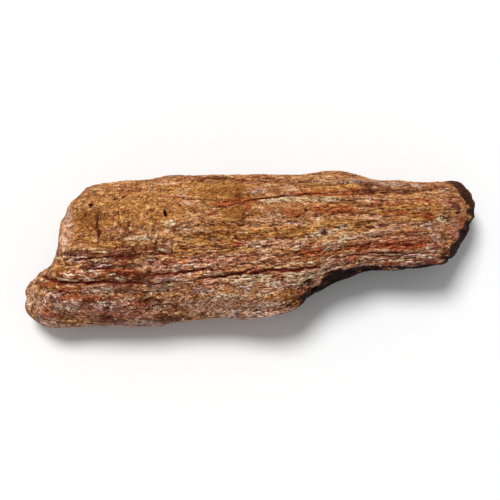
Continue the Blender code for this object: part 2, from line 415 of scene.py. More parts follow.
@dataclass(frozen=True)
class Weathering:
    """The roughness of weathered bone. Heights, depths and distances are in millimetres.

    A zone is a stretch along the claw, and the drop is where in its width a ledge breaks off. The other
    ranges are levels of noise.
    """

    strands: Texture = Texture((3.8, 0.9, 0.9), 2.0, 2, height=0.11)
    fibres: Texture = Texture((1.6, 0.44, 0.44), 4.0, 2, height=0.075)
    checks: Texture = Texture((7.0, 0.8, 0.8), 12.0, 2, height=0.18)
    check_width: float = 0.06
    crackle: Texture = Texture((1.5, 1.1, 1.1), 14.0, 2, height=0.10)
    crackle_width: float = 0.09
    dryness: Texture = Texture((5.0, 2.0, 2.0), 8.0)
    check_dryness: Range = (-0.2, 0.35)
    crackle_dryness: Range = (0.8, 0.3)
    lumps: Texture = Texture((0.8, 0.6, 0.6), 15.0, 2, height=0.07)
    grit: Texture = Texture((0.45, 0.36, 0.36), 16.0, 2, height=0.05)
    chunks: Texture = Texture((1.4, 1.1, 1.1), 18.0, 3, height=0.12)
    chunk_zone: Range = (-30.0, 0.0)
    drift: Texture = Texture((12.0, 3.0, 3.0), 6.0)
    ledge_height: float = 0.13
    ledge_spacing: float = 1.5
    ledge_tilt: float = 0.35
    ledge_wander: float = 0.9
    ledge_drop: Range = (1.0, 0.85)
    ledge_drift: Range = (-0.35, 0.2)
    stringy_zone: Range = (-46.0, -41.0)
    crumbled_fibres: float = 0.15
    firm_lumps: float = 0.4

    def ledges(self, places: np.ndarray) -> np.ndarray:
        """Splinters that rise across the grain and break off in a step.

        Args:
            places: the points in the grain's own coordinates.

        Returns:
            Their height at each point.
        """
        drift = self.drift.at(places)
        turns = (places[:, 1] + self.ledge_tilt * places[:, 2]) / self.ledge_spacing
        turns += self.ledge_wander * drift
        rise = turns - np.floor(turns)
        return self.ledge_height * rise * ramp(rise, *self.ledge_drop) * ramp(drift, *self.ledge_drift)

    def relief(
        self, base: np.ndarray, places: np.ndarray, broken: np.ndarray, crumbly: np.ndarray
    ) -> np.ndarray:
        """How far the surface stands out from the smooth skin.

        Args:
            base: the points of the smooth skin.
            places: the points in the grain's own coordinates.
            broken: where the face is a break across the grain, from 0 to 1.
            crumbly: where the fibres have crumbled to grains, from 0 to 1.

        Returns:
            One height for each point, below zero in the cracks.
        """
        dry = ramp(self.dryness.at(places), *self.check_dryness)
        fibrous = self.strands.strands(places) + self.fibres.strands(places) + self.ledges(places)
        fibrous -= self.checks.lines(places, self.check_width) * dry
        stringy = (1 - broken) * (1 - (1 - self.crumbled_fibres) * crumbly)
        stringy *= ramp(base[:, 0], *self.stringy_zone)
        chunks = self.chunks.at(base) * ramp(base[:, 0], *self.chunk_zone)
        crackle = self.crackle.lines(places, self.crackle_width) * ramp(dry, *self.crackle_dryness)
        grains = self.lumps.strands(base) - crackle
        share = self.firm_lumps + (1 - self.firm_lumps) * crumbly
        return stringy * fibrous + broken * chunks + (self.grit.at(base) + share * grains)


@dataclass(frozen=True)
class PaintedShadeWalls:
    """Painted shade on two steep faces, laid into the Manganese weight: the one under the notch, and the
    broken tip.

    The ways they face are unit vectors, and a zone is a stretch along the claw or, for the tip, along
    the way it faces, in millimetres.
    """

    notch_facing: Triple = (0.6, -0.8, 0.0)
    notch_side: Range = (0.35, 0.6)
    notch_steepness: Range = (0.45, 0.18)
    notch_turned: float = 0.25
    notch_fraying: float = 0.12
    notch_zone: Range = (5.0, 9.0)
    tip_facing: Point = (0.85, 0.53)
    tip_fraying: float = 0.8
    tip_zone: Range = (40.4, 41.9)
    tip_strength: float = 0.66

    def weight(self, base: np.ndarray, ways: np.ndarray, edge: np.ndarray) -> np.ndarray:
        """How much painted shade each point gets.

        Args:
            base: the points of the smooth skin.
            ways: the way out of the claw at each point.
            edge: noise that frays the walls' edges.

        Returns:
            From 0 to 1.
        """
        lift = ways[:, 2] - self.notch_turned * ways[:, 0] + self.notch_fraying * edge
        facing = ways @ np.array(self.notch_facing)
        notch = ramp(lift, *self.notch_steepness) * ramp(facing, *self.notch_side)
        notch *= ramp(base[:, 0], *self.notch_zone)
        reach = self.tip_facing[0] * base[:, 0] + self.tip_facing[1] * base[:, 1]
        tip = ramp(reach + self.tip_fraying * edge, *self.tip_zone)
        return np.maximum(notch, self.tip_strength * tip)


@dataclass
class Skin:
    """A mesh as arrays: points and normals in millimetres, and which points are joined by edges."""

    mesh: bpy.types.Mesh
    points: np.ndarray = field(init=False)
    normals: np.ndarray = field(init=False)
    edges: np.ndarray = field(init=False)

    def __post_init__(self) -> None:
        """Reads the arrays from the mesh."""
        self.edges = np.empty(len(self.mesh.edges) * 2, np.int64)
        self.mesh.edges.foreach_get("vertices", self.edges)
        self.edges = self.edges.reshape(-1, 2)
        self.read()

    def read(self) -> None:
        """Reads the points and normals again after a change."""
        size = len(self.mesh.vertices) * 3
        self.points, self.normals = np.empty(size), np.empty(size)
        self.mesh.vertices.foreach_get("co", self.points)
        self.mesh.vertices.foreach_get("normal", self.normals)
        self.points = self.points.reshape(-1, 3)
        self.normals = self.normals.reshape(-1, 3)

    def write(self, points: np.ndarray) -> None:
        """Moves the mesh to the given points.

        Args:
            points: one row of three coordinates for each point.
        """
        self.mesh.vertices.foreach_set("co", points.ravel())
        self.mesh.update()
        self.read()

    def averaged(self, values: np.ndarray, rounds: int) -> np.ndarray:
        """The values after each point has taken the mean of its neighbours a number of times.

        Args:
            values: one row for each point.
            rounds: how often to average.

        Returns:
            The smoothed rows.
        """
        first, second = self.edges[:, 0], self.edges[:, 1]
        count = len(self.points)
        shares = np.bincount(first, minlength=count) + np.bincount(second, minlength=count)
        for _ in range(rounds):
            columns = []
            for column in values.T:
                total = np.bincount(first, column[second], count) + np.bincount(second, column[first], count)
                columns.append(total / shares)
            values = np.column_stack(columns)
        return values

    def outward(self, rounds: int) -> np.ndarray:
        """The way out of the claw at each point, which small dents don't turn."""
        ways = self.averaged(self.normals, rounds)
        return ways / np.linalg.norm(ways, axis=1)[:, None]

    def hollows(self, rounds: int, depth: float) -> np.ndarray:
        """How deep each point lies below the smoothed skin.

        Args:
            rounds: how broad the smoothing is.
            depth: the depth that counts as 1, in millimetres.

        Returns:
            From -1 on a crest to 1 in a hollow.
        """
        below = ((self.averaged(self.points, rounds) - self.points) * self.normals).sum(axis=1)
        return np.clip(below / depth, -1, 1)

    def mark(self, mark: Mineral | Mark, values: np.ndarray) -> None:
        """Stores one number, or one vector, for each point.

        Args:
            mark: what the numbers say.
            values: one number or row for each point.
        """
        if values.ndim == 1:
            layer = self.mesh.attributes.new(mark.value, "FLOAT", "POINT")
            layer.data.foreach_set("value", values.astype(np.float32))
        else:
            layer = self.mesh.attributes.new(mark.value, "FLOAT_VECTOR", "POINT")
            layer.data.foreach_set("vector", values.astype(np.float32).ravel())


@dataclass(frozen=True)
class Pattern:
    """A material's noise or cells: sizes along the grain, across it and in depth, and their fineness."""

    sizes: Triple
    seed: float
    detail: float = 2.0
    roughness: float = 0.55


@dataclass(frozen=True)
class Mottle:
    """Two patterns in one: blobs along the grain, and rounder ones for where the bone is crumbly."""

    length: float
    width: float
    seed: float
    detail: float = 3.0
    roughness: float = 0.65
    flatness: float = 0.8
    seed_step: float = 0.4

    def stretched(self) -> Pattern:
        """The blobs along the grain."""
        sizes = (self.length, self.width, self.width)
        return Pattern(sizes, self.seed, self.detail, self.roughness)

    def rounded(self) -> Pattern:
        """The rounder blobs, about as large.

        Returns:
            The pattern.
        """
        middle = math.sqrt(self.length * self.width)
        sizes = (middle, self.flatness * middle, self.flatness * middle)
        return Pattern(sizes, self.seed + self.seed_step, self.detail, self.roughness)


@dataclass(frozen=True)
class Cells:
    """A pattern of cells: the distance from each cell's edge, and a colour drawn at random for each cell."""

    edge: Socket
    tint: Socket


@dataclass
class Bench:
    """Adds nodes to one material and joins them. Its patterns run along the grain, in millimetres."""

    tree: bpy.types.NodeTree
    places: Socket | None = None

    def add(self, kind: str, **settings: object) -> bpy.types.Node:
        """A new node with its settings.

        Args:
            kind: Blender's name for the node.
            settings: its properties by name.

        Returns:
            The node.
        """
        node = self.tree.nodes.new(kind)
        for name, value in settings.items():
            setattr(node, name, value)
        return node

    def feed(self, socket: Socket, source: object) -> None:
        """Joins a socket to an output, or sets it to a plain value.

        Args:
            socket: the input.
            source: the output or the value.
        """
        if isinstance(source, Socket):
            self.tree.links.new(source, socket)
        else:
            socket.default_value = source

    def weight(self, mark: Mineral | Mark) -> Socket:
        """The number that the skin carries for a mark."""
        return self.add("ShaderNodeAttribute", attribute_name=mark.value).outputs["Fac"]

    def vector(self, mark: Mark) -> Socket:
        """The vector that the skin carries for a mark."""
        return self.add("ShaderNodeAttribute", attribute_name=mark.value).outputs["Vector"]

    def scaled(self, places: Socket, sizes: Triple, seed: float) -> Socket:
        """The coordinates with each of the sizes as 1, shifted by the seed.

        Args:
            places: the coordinates, in millimetres.
            sizes: along the grain, across it and in depth.
            seed: shifts them to another part of a pattern.

        Returns:
            The scaled coordinates.
        """
        mapping = self.add("ShaderNodeMapping")
        self.feed(mapping.inputs["Vector"], places)
        mapping.inputs["Scale"].default_value = [1 / size for size in sizes]
        mapping.inputs["Location"].default_value = (seed, seed * 1.7, seed * 0.6)
        return mapping.outputs["Vector"]

    def warped(self, places: Socket, pattern: Pattern, reach: Triple) -> Socket:
        """The coordinates pushed about by a pattern's noise, as far as the reach.

        Args:
            places: the coordinates, in millimetres.
            pattern: the noise.
            reach: how far it pushes along the grain, across it and in depth.

        Returns:
            The bent coordinates.
        """
        texture = self.add("ShaderNodeTexNoise")
        self.feed(texture.inputs["Vector"], self.scaled(places, pattern.sizes, pattern.seed))
        texture.inputs["Scale"].default_value = 1.0
        push = self.add("ShaderNodeVectorMath", operation="MULTIPLY_ADD")
        self.feed(push.inputs[0], texture.outputs["Color"])
        self.feed(push.inputs[1], reach)
        self.feed(push.inputs[2], places)
        return push.outputs["Vector"]

    def noise(self, pattern: Pattern) -> Socket:
        """A pattern's noise, from 0 to 1 around one half.

        Args:
            pattern: its sizes and fineness.

        Returns:
            The noise.
        """
        texture = self.add("ShaderNodeTexNoise")
        self.feed(texture.inputs["Vector"], self.scaled(self.places, pattern.sizes, pattern.seed))
        texture.inputs["Scale"].default_value = 1.0
        texture.inputs["Detail"].default_value = pattern.detail
        texture.inputs["Roughness"].default_value = pattern.roughness
        return texture.outputs["Fac"]

    def mottled(self, mottle: Mottle) -> Socket:
        """Noise along the grain that breaks up into rounder spots where the bone is crumbly."""
        stretched, rounded = self.noise(mottle.stretched()), self.noise(mottle.rounded())
        return self.between(self.weight(Mark.CRUMBLY), stretched, rounded)

    def cells(self, pattern: Pattern) -> Cells:
        """Closely packed cells, such as splinters or crumbs.

        Args:
            pattern: the size of a cell.

        Returns:
            The cells' edges and their colours.
        """
        vector = self.scaled(self.places, pattern.sizes, pattern.seed)
        outline = self.add("ShaderNodeTexVoronoi", feature="DISTANCE_TO_EDGE")
        body = self.add("ShaderNodeTexVoronoi", feature="F1")
        for node in (outline, body):
            self.feed(node.inputs["Vector"], vector)
            node.inputs["Scale"].default_value = 1.0
        return Cells(outline.outputs["Distance"], body.outputs["Color"])

    def level(
        self, value: object, low: float, high: float, to_low: float = 0.0, to_high: float = 1.0
    ) -> Socket:
        """Stretches a value smoothly from one range to another, and holds it there.

        Args:
            value: the number.
            low: where the first range starts; it may be the larger end.
            high: where the first range ends.
            to_low: what low becomes.
            to_high: what high becomes.

        Returns:
            The stretched number.
        """
        node = self.add("ShaderNodeMapRange", interpolation_type="SMOOTHSTEP")
        self.feed(node.inputs["Value"], value)
        node.inputs["From Min"].default_value = low
        node.inputs["From Max"].default_value = high
        node.inputs["To Min"].default_value = to_low
        node.inputs["To Max"].default_value = to_high
        return node.outputs["Result"]

    def sum(self, operation: str, first: object, second: object = 0.0) -> Socket:
        """One step of arithmetic on two numbers.

        Args:
            operation: Blender's name for it.
            first: the first number.
            second: the second number, where it takes one.

        Returns:
            The outcome.
        """
        node = self.add("ShaderNodeMath", operation=operation)
        self.feed(node.inputs[0], first)
        self.feed(node.inputs[1], second)
        return node.outputs["Value"]

    def times(self, first: object, second: object) -> Socket:
        """The product of two numbers."""
        return self.sum("MULTIPLY", first, second)

    def swing(self, value: object, reach: float) -> Socket:
        """Noise around one half, turned into noise around zero that reaches half as far as given."""
        return self.times(self.sum("SUBTRACT", value, 0.5), reach)

    def lines(self, value: object, width: float) -> Socket:
        """Thin lines where noise passes through one half."""
        aside = self.sum("ABSOLUTE", self.sum("SUBTRACT", value, 0.5))
        return self.level(aside, 0.0, width, 1.0, 0.0)

    def between(self, share: object, first: object, second: object) -> Socket:
        """A number that passes from the first to the second as the share goes from 0 to 1.

        Args:
            share: how far it has passed.
            first: the number at 0.
            second: the number at 1.

        Returns:
            The mixed number.
        """
        node = self.add("ShaderNodeMix", data_type="FLOAT")
        self.feed(node.inputs[0], share)
        self.feed(node.inputs[2], first)
        self.feed(node.inputs[3], second)
        return node.outputs[0]

    def blend(self, factor: object, under: object, over: object, kind: str = "MIX") -> Socket:
        """One colour over another.

        Args:
            factor: how much of the upper colour shows.
            under: the lower colour.
            over: the upper colour.
            kind: Blender's name for the way they mix.

        Returns:
            The mixed colour.
        """
        node = self.add("ShaderNodeMix", data_type="RGBA", blend_type=kind)
        self.feed(node.inputs[0], factor)
        self.feed(node.inputs[6], under)
        self.feed(node.inputs[7], over)
        return node.outputs[2]

    def painted(self, factor: object, under: object, colour: Colour) -> Socket:
        """A plain colour over another one, as far as the factor goes."""
        return self.blend(factor, under, linear(colour))

    def tinted(self, factor: object, colour: object, tint: Triple) -> Socket:
        """A colour multiplied by a tint, as far as the factor goes."""
        return self.blend(factor, colour, (*tint, 1.0), "MULTIPLY")

    def lit(self, light: object, colour: object, powers: Triple) -> Socket:
        """A colour multiplied by a light, raised to a power of its own for red, green and blue.

        Args:
            light: 1 leaves the colour as it is.
            colour: the colour.
            powers: for red, green and blue.

        Returns:
            The lit colour.
        """
        node = self.add("ShaderNodeCombineColor")
        for socket, power in zip(node.inputs, powers):
            self.feed(socket, self.sum("POWER", light, power))
        return self.blend(1.0, colour, node.outputs["Color"], "MULTIPLY")


def linear(colour: Colour) -> tuple[float, float, float, float]:
    """A colour of 0 to 255, as seen on a screen, as the light that it stands for."""
    parts = [part / 255 for part in colour]
    return (*(p / 12.92 if p <= 0.04045 else ((p + 0.055) / 1.055) ** 2.4 for p in parts), 1.0)


@dataclass(frozen=True)
class FossilBoneFinish:
    """Iron-stained mineralised bone: dull, streaked along the grain, dark in its cracks.

    First come its colours, then the tints and powers that vary them, and then its patterns.
    """

    chestnut: Colour = (125, 74, 43)
    brown: Colour = (166, 107, 65)
    tan: Colour = (196, 138, 87)
    sand: Colour = (218, 167, 114)
    umber: Colour = (96, 48, 26)
    ochre: Colour = (189, 129, 65)
    bronze: Colour = (146, 90, 38)
    rust: Colour = (168, 82, 40)
    rose: Colour = (174, 110, 85)
    # Also the colour of painted highlights on ledge lips and fissure lips.
    peach: Colour = (222, 165, 127)
    cream: Colour = (222, 193, 150)
    lilac: Colour = (188, 155, 139)
    palest: Colour = (234, 206, 170)
    pitch: Colour = (54, 16, 4)
    maroon: Colour = (104, 36, 20)
    garnet: Colour = (112, 35, 21)
    # Also the colour of the painted shade on the notch wall and the broken tip.
    manganese_and_shade: Colour = (60, 25, 12)
    paler: Triple = (1.38, 1.5, 1.6)
    darker: Triple = (0.54, 0.37, 0.27)
    redder: Triple = (1.09, 0.89, 0.81)
    greyer: Triple = (0.96, 0.99, 1.05)
    ashen: Triple = (0.98, 1.0, 1.1)
    depth: Triple = (0.73, 1.13, 1.42)
    warp: Pattern = Pattern((0.9, 0.5, 0.5), 2.0)
    warp_reach: Triple = (0.7, 0.3, 0.3)
    fibres: Pattern = Pattern((1.0, 0.29, 0.29), 21.0, 3.0, 0.65)
    grains: Pattern = Pattern((0.5, 0.4, 0.4), 27.0, 3.0, 0.65)
    splinter_cells: Pattern = Pattern((1.9, 0.4, 0.4), 8.0)
    crumb_cells: Pattern = Pattern((0.66, 0.52, 0.52), 5.0)
    crumb_patches: Pattern = Pattern((1.2, 0.8, 0.8), 12.0)
    drifts: Pattern = Pattern((7.0, 2.0, 2.0), 3.0, 4.0, 0.6)
    streaks: Mottle = Mottle(4.4, 0.75, 6.0)
    stain_flecks: Mottle = Mottle(1.1, 0.5, 10.0)
    stain_seed_step: float = 1.0
    warmth: Mottle = Mottle(1.8, 0.9, 69.0)
    shade: Mottle = Mottle(1.6, 0.9, 66.0)
    unrest_patches: Pattern = Pattern((4.0, 1.7, 1.7), 18.0)
    fine_grains: Pattern = Pattern((0.36, 0.25, 0.25), 30.0, 2.0, 0.6)
    red_flecks: Mottle = Mottle(1.2, 0.5, 33.0)
    pale_flecks: Mottle = Mottle(0.8, 0.36, 39.0)
    gap_patches: Pattern = Pattern((1.4, 0.7, 0.7), 48.0, 1.0)
    hair: Pattern = Pattern((6.0, 0.6, 0.6), 45.0, 3.0, 0.6)
    hair_patches: Pattern = Pattern((4.0, 1.4, 1.4), 51.0, 1.0)
    nicks: Pattern = Pattern((0.8, 1.8, 1.8), 54.0, 2.0, 0.6)
    specks: Pattern = Pattern((0.5, 0.34, 0.34), 57.0, 2.0, 0.6)
    rims: Pattern = Pattern((1.6, 0.5, 0.5), 60.0)
    rubbed_patches: Pattern = Pattern((1.6, 0.6, 0.6), 63.0)
    bump_grit: Pattern = Pattern((0.24, 0.2, 0.2), 75.0, 2.0, 0.6)
    bump_strength: float = 0.9
    bump_height: float = 0.14
    gloss: float = 0.1

    def material(self) -> bpy.types.Material:
        """Makes the node material, which reads the marks that the skin carries.

        Returns:
            The material.
        """
        material = bpy.data.materials.new("fossil_bone")
        material.use_nodes = True
        shader = material.node_tree.nodes["Principled BSDF"]
        bench = Bench(material.node_tree)
        bench.places = bench.warped(bench.vector(Mark.GRAIN), self.warp, self.warp_reach)
        threads = self.threads(bench)
        splinters = self.splinters(bench)
        colour = self.ground(bench)
        colour = self.stained(bench, colour)
        colour = self.blotched(bench, colour)
        unrest = self.unrest(bench)
        colour = self.flecked(bench, splinters, unrest, colour)
        colour = self.streaked(bench, threads, unrest, colour)
        colour = self.broken_up(bench, splinters, colour)
        colour = self.hollowed(bench, colour)
        colour = self.cracked(bench, colour)
        bench.feed(shader.inputs["Base Color"], colour)
        bench.feed(shader.inputs["Roughness"], self.roughness(bench))
        bench.feed(shader.inputs["Normal"], self.bump(bench, threads, splinters))
        shader.inputs["Specular IOR Level"].default_value = self.gloss
        return material

    def threads(self, bench: Bench) -> Socket:
        """Fine fibres along the grain, which give way to grains where the bone is crumbly."""
        fibres, grains = bench.noise(self.fibres), bench.noise(self.grains)
        return bench.between(bench.weight(Mark.CRUMBLY), fibres, grains)

    def splinters(self, bench: Bench) -> Cells:
        """Splinters along the grain, which give way to crumbs where the bone is crumbly.

        Args:
            bench: the material's bench.

        Returns:
            The cells.
        """
        long, short = bench.cells(self.splinter_cells), bench.cells(self.crumb_cells)
        uneven = bench.swing(bench.noise(self.crumb_patches), 1.0)
        choice = bench.level(bench.sum("ADD", bench.weight(Mark.CRUMBLY), uneven), 0.44, 0.5)
        edge = bench.between(choice, long.edge, short.edge)
        return Cells(edge, bench.blend(choice, long.tint, short.tint))

    def ground(self, bench: Bench) -> Socket:
        """Broad drifts of brown, tan and sand along the grain.

        Args:
            bench: the material's bench.

        Returns:
            The colour.
        """
        drift, streaks = bench.noise(self.drifts), bench.mottled(self.streaks)
        colour = bench.painted(bench.level(drift, 0.26, 0.46), linear(self.chestnut), self.brown)
        colour = bench.painted(bench.level(drift, 0.4, 0.6), colour, self.tan)
        colour = bench.painted(bench.level(streaks, 0.46, 0.3, 0.0, 0.8), colour, self.chestnut)
        return bench.painted(bench.level(streaks, 0.54, 0.7, 0.0, 0.8), colour, self.sand)

    def stained(self, bench: Bench, colour: Socket) -> Socket:
        """The mineral stains, frayed into flecks at their edges. Each one covers those before it.

        Args:
            bench: the material's bench.
            colour: the colour so far.

        Returns:
            The stained colour.
        """
        colours = {
            Mineral.OCHRE: self.ochre,
            Mineral.BRONZE: self.bronze,
            Mineral.ROSE: self.rose,
            Mineral.LILAC: self.lilac,
            Mineral.PEACH: self.peach,
            Mineral.RUST: self.rust,
            Mineral.UMBER: self.umber,
            Mineral.CREAM: self.cream,
            Mineral.MAROON: self.maroon,
            Mineral.MANGANESE_AND_SHADE: self.manganese_and_shade,
        }
        for number, (mineral, tint) in enumerate(colours.items()):
            seed = self.stain_flecks.seed + self.stain_seed_step * number
            flecks = replace(self.stain_flecks, seed=seed)
            weight = bench.weight(mineral)
            frayed = bench.sum("ADD", weight, bench.swing(bench.mottled(flecks), 1.2))
            amount = bench.times(bench.level(frayed, 0.2, 0.6), bench.level(weight, 0.0, 0.5, 0.0, 0.85))
            colour = bench.painted(amount, colour, tint)
        return bench.tinted(bench.weight(Mark.RUGGED), colour, self.ashen)

    def blotched(self, bench: Bench, colour: Socket) -> Socket:
        """Soft patches a millimetre or two across, darker, greyer, redder or paler than the ground.

        Args:
            bench: the material's bench.
            colour: the colour so far.

        Returns:
            The blotched colour.
        """
        warmth, shade = bench.mottled(self.warmth), bench.mottled(self.shade)
        colour = bench.tinted(bench.level(warmth, 0.53, 0.7, 0.0, 0.7), colour, self.redder)
        colour = bench.tinted(bench.level(warmth, 0.47, 0.3), colour, self.greyer)
        return bench.lit(bench.level(shade, 0.3, 0.7, 0.64, 1.36), colour, self.depth)

    def unrest(self, bench: Bench) -> Socket:
        """How rough each patch of the surface is: under 1 where it is calm, over 1 where it is broken up."""
        return bench.level(bench.noise(self.unrest_patches), 0.34, 0.64, 0.5, 1.4)

    def flecked(self, bench: Bench, splinters: Cells, unrest: Socket, colour: Socket) -> Socket:
        """A shade and a stain of its own for each splinter and crumb.

        Args:
            bench: the material's bench.
            splinters: the cells, which each have three random numbers as their tint.
            unrest: how rough each patch is.
            colour: the colour so far.

        Returns:
            The varied colour.
        """
        parts = bench.add("ShaderNodeSeparateColor")
        bench.feed(parts.inputs["Color"], splinters.tint)
        shade, warmth, iron = parts.outputs
        rugged = bench.times(bench.level(bench.weight(Mark.RUGGED), 0.0, 1.0, 0.3, 1.0), unrest)
        for value, low, high, tint in (
            (iron, 0.7, 0.9, self.redder),
            (iron, 0.3, 0.1, self.greyer),
            (warmth, 0.7, 0.95, self.paler),
            (warmth, 0.3, 0.05, self.darker),
        ):
            colour = bench.tinted(bench.times(bench.level(value, low, high), rugged), colour, tint)
        amount = bench.times(bench.level(shade, 0.86, 0.94), rugged)
        colour = bench.painted(bench.times(amount, 0.3), colour, self.cream)
        light = bench.between(rugged, 1.0, bench.level(shade, 0.0, 1.0, 0.6, 1.4))
        return bench.lit(light, colour, self.depth)

    def streaked(self, bench: Bench, threads: Socket, unrest: Socket, colour: Socket) -> Socket:
        """Fibres, grains and flecks, lighter and darker than the ground.

        Args:
            bench: the material's bench.
            threads: the fibres and grains.
            unrest: how rough each patch is.
            colour: the colour so far.

        Returns:
            The streaked colour, nowhere paler than the palest.
        """
        red, pale = bench.mottled(self.red_flecks), bench.mottled(self.pale_flecks)
        colour = bench.tinted(bench.level(red, 0.52, 0.7, 0.0, 0.8), colour, self.redder)
        colour = bench.tinted(bench.level(pale, 0.54, 0.72, 0.0, 0.5), colour, self.paler)
        # Partly painted shade and highlight: the threads also shape the bump, so the colour darkens in its
        # gaps and lightens on its crests.
        light = bench.level(threads, 0.32, 0.68, 0.45, 1.6)
        light = bench.times(light, bench.level(bench.noise(self.fine_grains), 0.32, 0.68, 0.6, 1.42))
        contrast = bench.times(bench.between(bench.weight(Mark.RUGGED), 0.68, 1.4), unrest)
        light = bench.sum("MINIMUM", bench.sum("POWER", light, contrast), 1.5)
        colour = bench.lit(light, colour, self.depth)
        return bench.blend(1.0, colour, linear(self.palest), "DARKEN")

    def broken_up(self, bench: Bench, splinters: Cells, colour: Socket) -> Socket:
        """Gaps between the splinters, hairlines along and across the grain, and specks.

        Args:
            bench: the material's bench.
            splinters: the splinters and crumbs.
            colour: the colour so far.

        Returns:
            The colour with its dark lines and specks.
        """
        crumbly = bench.weight(Mark.CRUMBLY)
        amount = bench.level(splinters.edge, 0.0, 0.12, 0.9, 0.0)
        amount = bench.times(amount, bench.level(bench.noise(self.gap_patches), 0.4, 0.6))
        colour = bench.painted(amount, colour, self.pitch)
        where = bench.noise(self.hair_patches)
        hair = bench.lines(bench.noise(self.hair), 0.02)
        amount = bench.times(hair, bench.level(where, 0.42, 0.56, 0.0, 0.9))
        amount = bench.times(amount, bench.level(crumbly, 0.0, 1.0, 1.0, 0.3))
        colour = bench.painted(amount, colour, self.pitch)
        nicks = bench.lines(bench.noise(self.nicks), 0.022)
        amount = bench.times(nicks, bench.level(where, 0.5, 0.4, 0.0, 0.7))
        colour = bench.painted(amount, colour, self.pitch)
        shift = bench.times(bench.sum("SUBTRACT", crumbly, bench.weight(Mark.RUGGED)), 0.03)
        pores = bench.sum("ADD", bench.noise(self.specks), shift)
        return bench.painted(bench.level(pores, 0.37, 0.28, 0.0, 0.8), colour, self.pitch)

    def hollowed(self, bench: Bench, colour: Socket) -> Socket:
        """Painted shade in the fine hollows, painted highlights on the crests, and maroon in the broad
        hollows.

        Args:
            bench: the material's bench.
            colour: the colour so far.

        Returns:
            The dirtied colour.
        """
        fine, broad = bench.weight(Mark.FINE_HOLLOW), bench.weight(Mark.BROAD_HOLLOW)
        # Painted shade in the fine hollows, and painted highlight on the crests.
        colour = bench.painted(bench.level(fine, 0.15, 0.9, 0.0, 0.85), colour, self.pitch)
        colour = bench.tinted(bench.level(fine, -0.2, -0.95, 0.0, 0.6), colour, self.paler)
        return bench.painted(bench.level(broad, 0.3, 1.0, 0.0, 0.45), colour, self.maroon)

    def cracked(self, bench: Bench, colour: Socket) -> Socket:
        """The fissures, with maroon stains and painted peach highlights on their lips, and painted shade on
        the dark walls.

        Args:
            bench: the material's bench.
            colour: the colour so far.

        Returns:
            The finished colour.
        """
        rims, crack = bench.noise(self.rims), bench.weight(Mark.CRACK)
        # Painted highlight: peach along the fissures' lips; the maroon after it is a stain.
        beside = bench.level(bench.weight(Mark.CRACK_SIDE), 0.1, 0.6)
        amount = bench.times(beside, bench.level(rims, 0.47, 0.62, 0.0, 0.7))
        colour = bench.painted(amount, colour, self.peach)
        amount = bench.times(beside, bench.level(rims, 0.46, 0.34, 0.0, 0.6))
        colour = bench.painted(amount, colour, self.maroon)
        # Painted shade: the Manganese weight, strongest on the notch wall and the broken tip, darkens the
        # colour.
        uneven = bench.swing(bench.noise(self.hair), 1.5)
        shaded = bench.sum("ADD", bench.weight(Mineral.MANGANESE_AND_SHADE), uneven)
        colour = bench.lit(bench.level(shaded, 0.2, 0.95, 1.0, 0.1), colour, self.depth)
        colour = bench.painted(bench.level(crack, 0.1, 0.4, 0.0, 0.9), colour, self.garnet)
        amount = bench.times(bench.level(crack, 0.45, 0.95), bench.level(rims, 0.58, 0.42, 0.45, 1.0))
        return bench.painted(amount, colour, self.pitch)

    def roughness(self, bench: Bench) -> Socket:
        """Dull, with crests that are rubbed a little smoother.

        Args:
            bench: the material's bench.

        Returns:
            The roughness.
        """
        patches = bench.level(bench.noise(self.rubbed_patches), 0.3, 0.7, 0.66, 0.92)
        rubbed = bench.level(bench.weight(Mark.FINE_HOLLOW), -1.0, 0.0, -0.12, 0.0)
        return bench.sum("ADD", patches, rubbed)

    def bump(self, bench: Bench, threads: Socket, splinters: Cells) -> Socket:
        """Threads, rounded splinters and grit finer than the skin's own mesh.

        Args:
            bench: the material's bench.
            threads: the fibres and grains.
            splinters: the splinters and crumbs.

        Returns:
            The bent normal.
        """
        height = bench.sum("ADD", threads, bench.times(bench.noise(self.bump_grit), 0.6))
        height = bench.sum("ADD", height, bench.level(splinters.edge, 0.0, 0.3, 0.0, 0.8))
        node = bench.add("ShaderNodeBump")
        node.inputs["Strength"].default_value = self.bump_strength
        node.inputs["Distance"].default_value = self.bump_height * MM
        bench.feed(node.inputs["Height"], height)
        return node.outputs["Normal"]


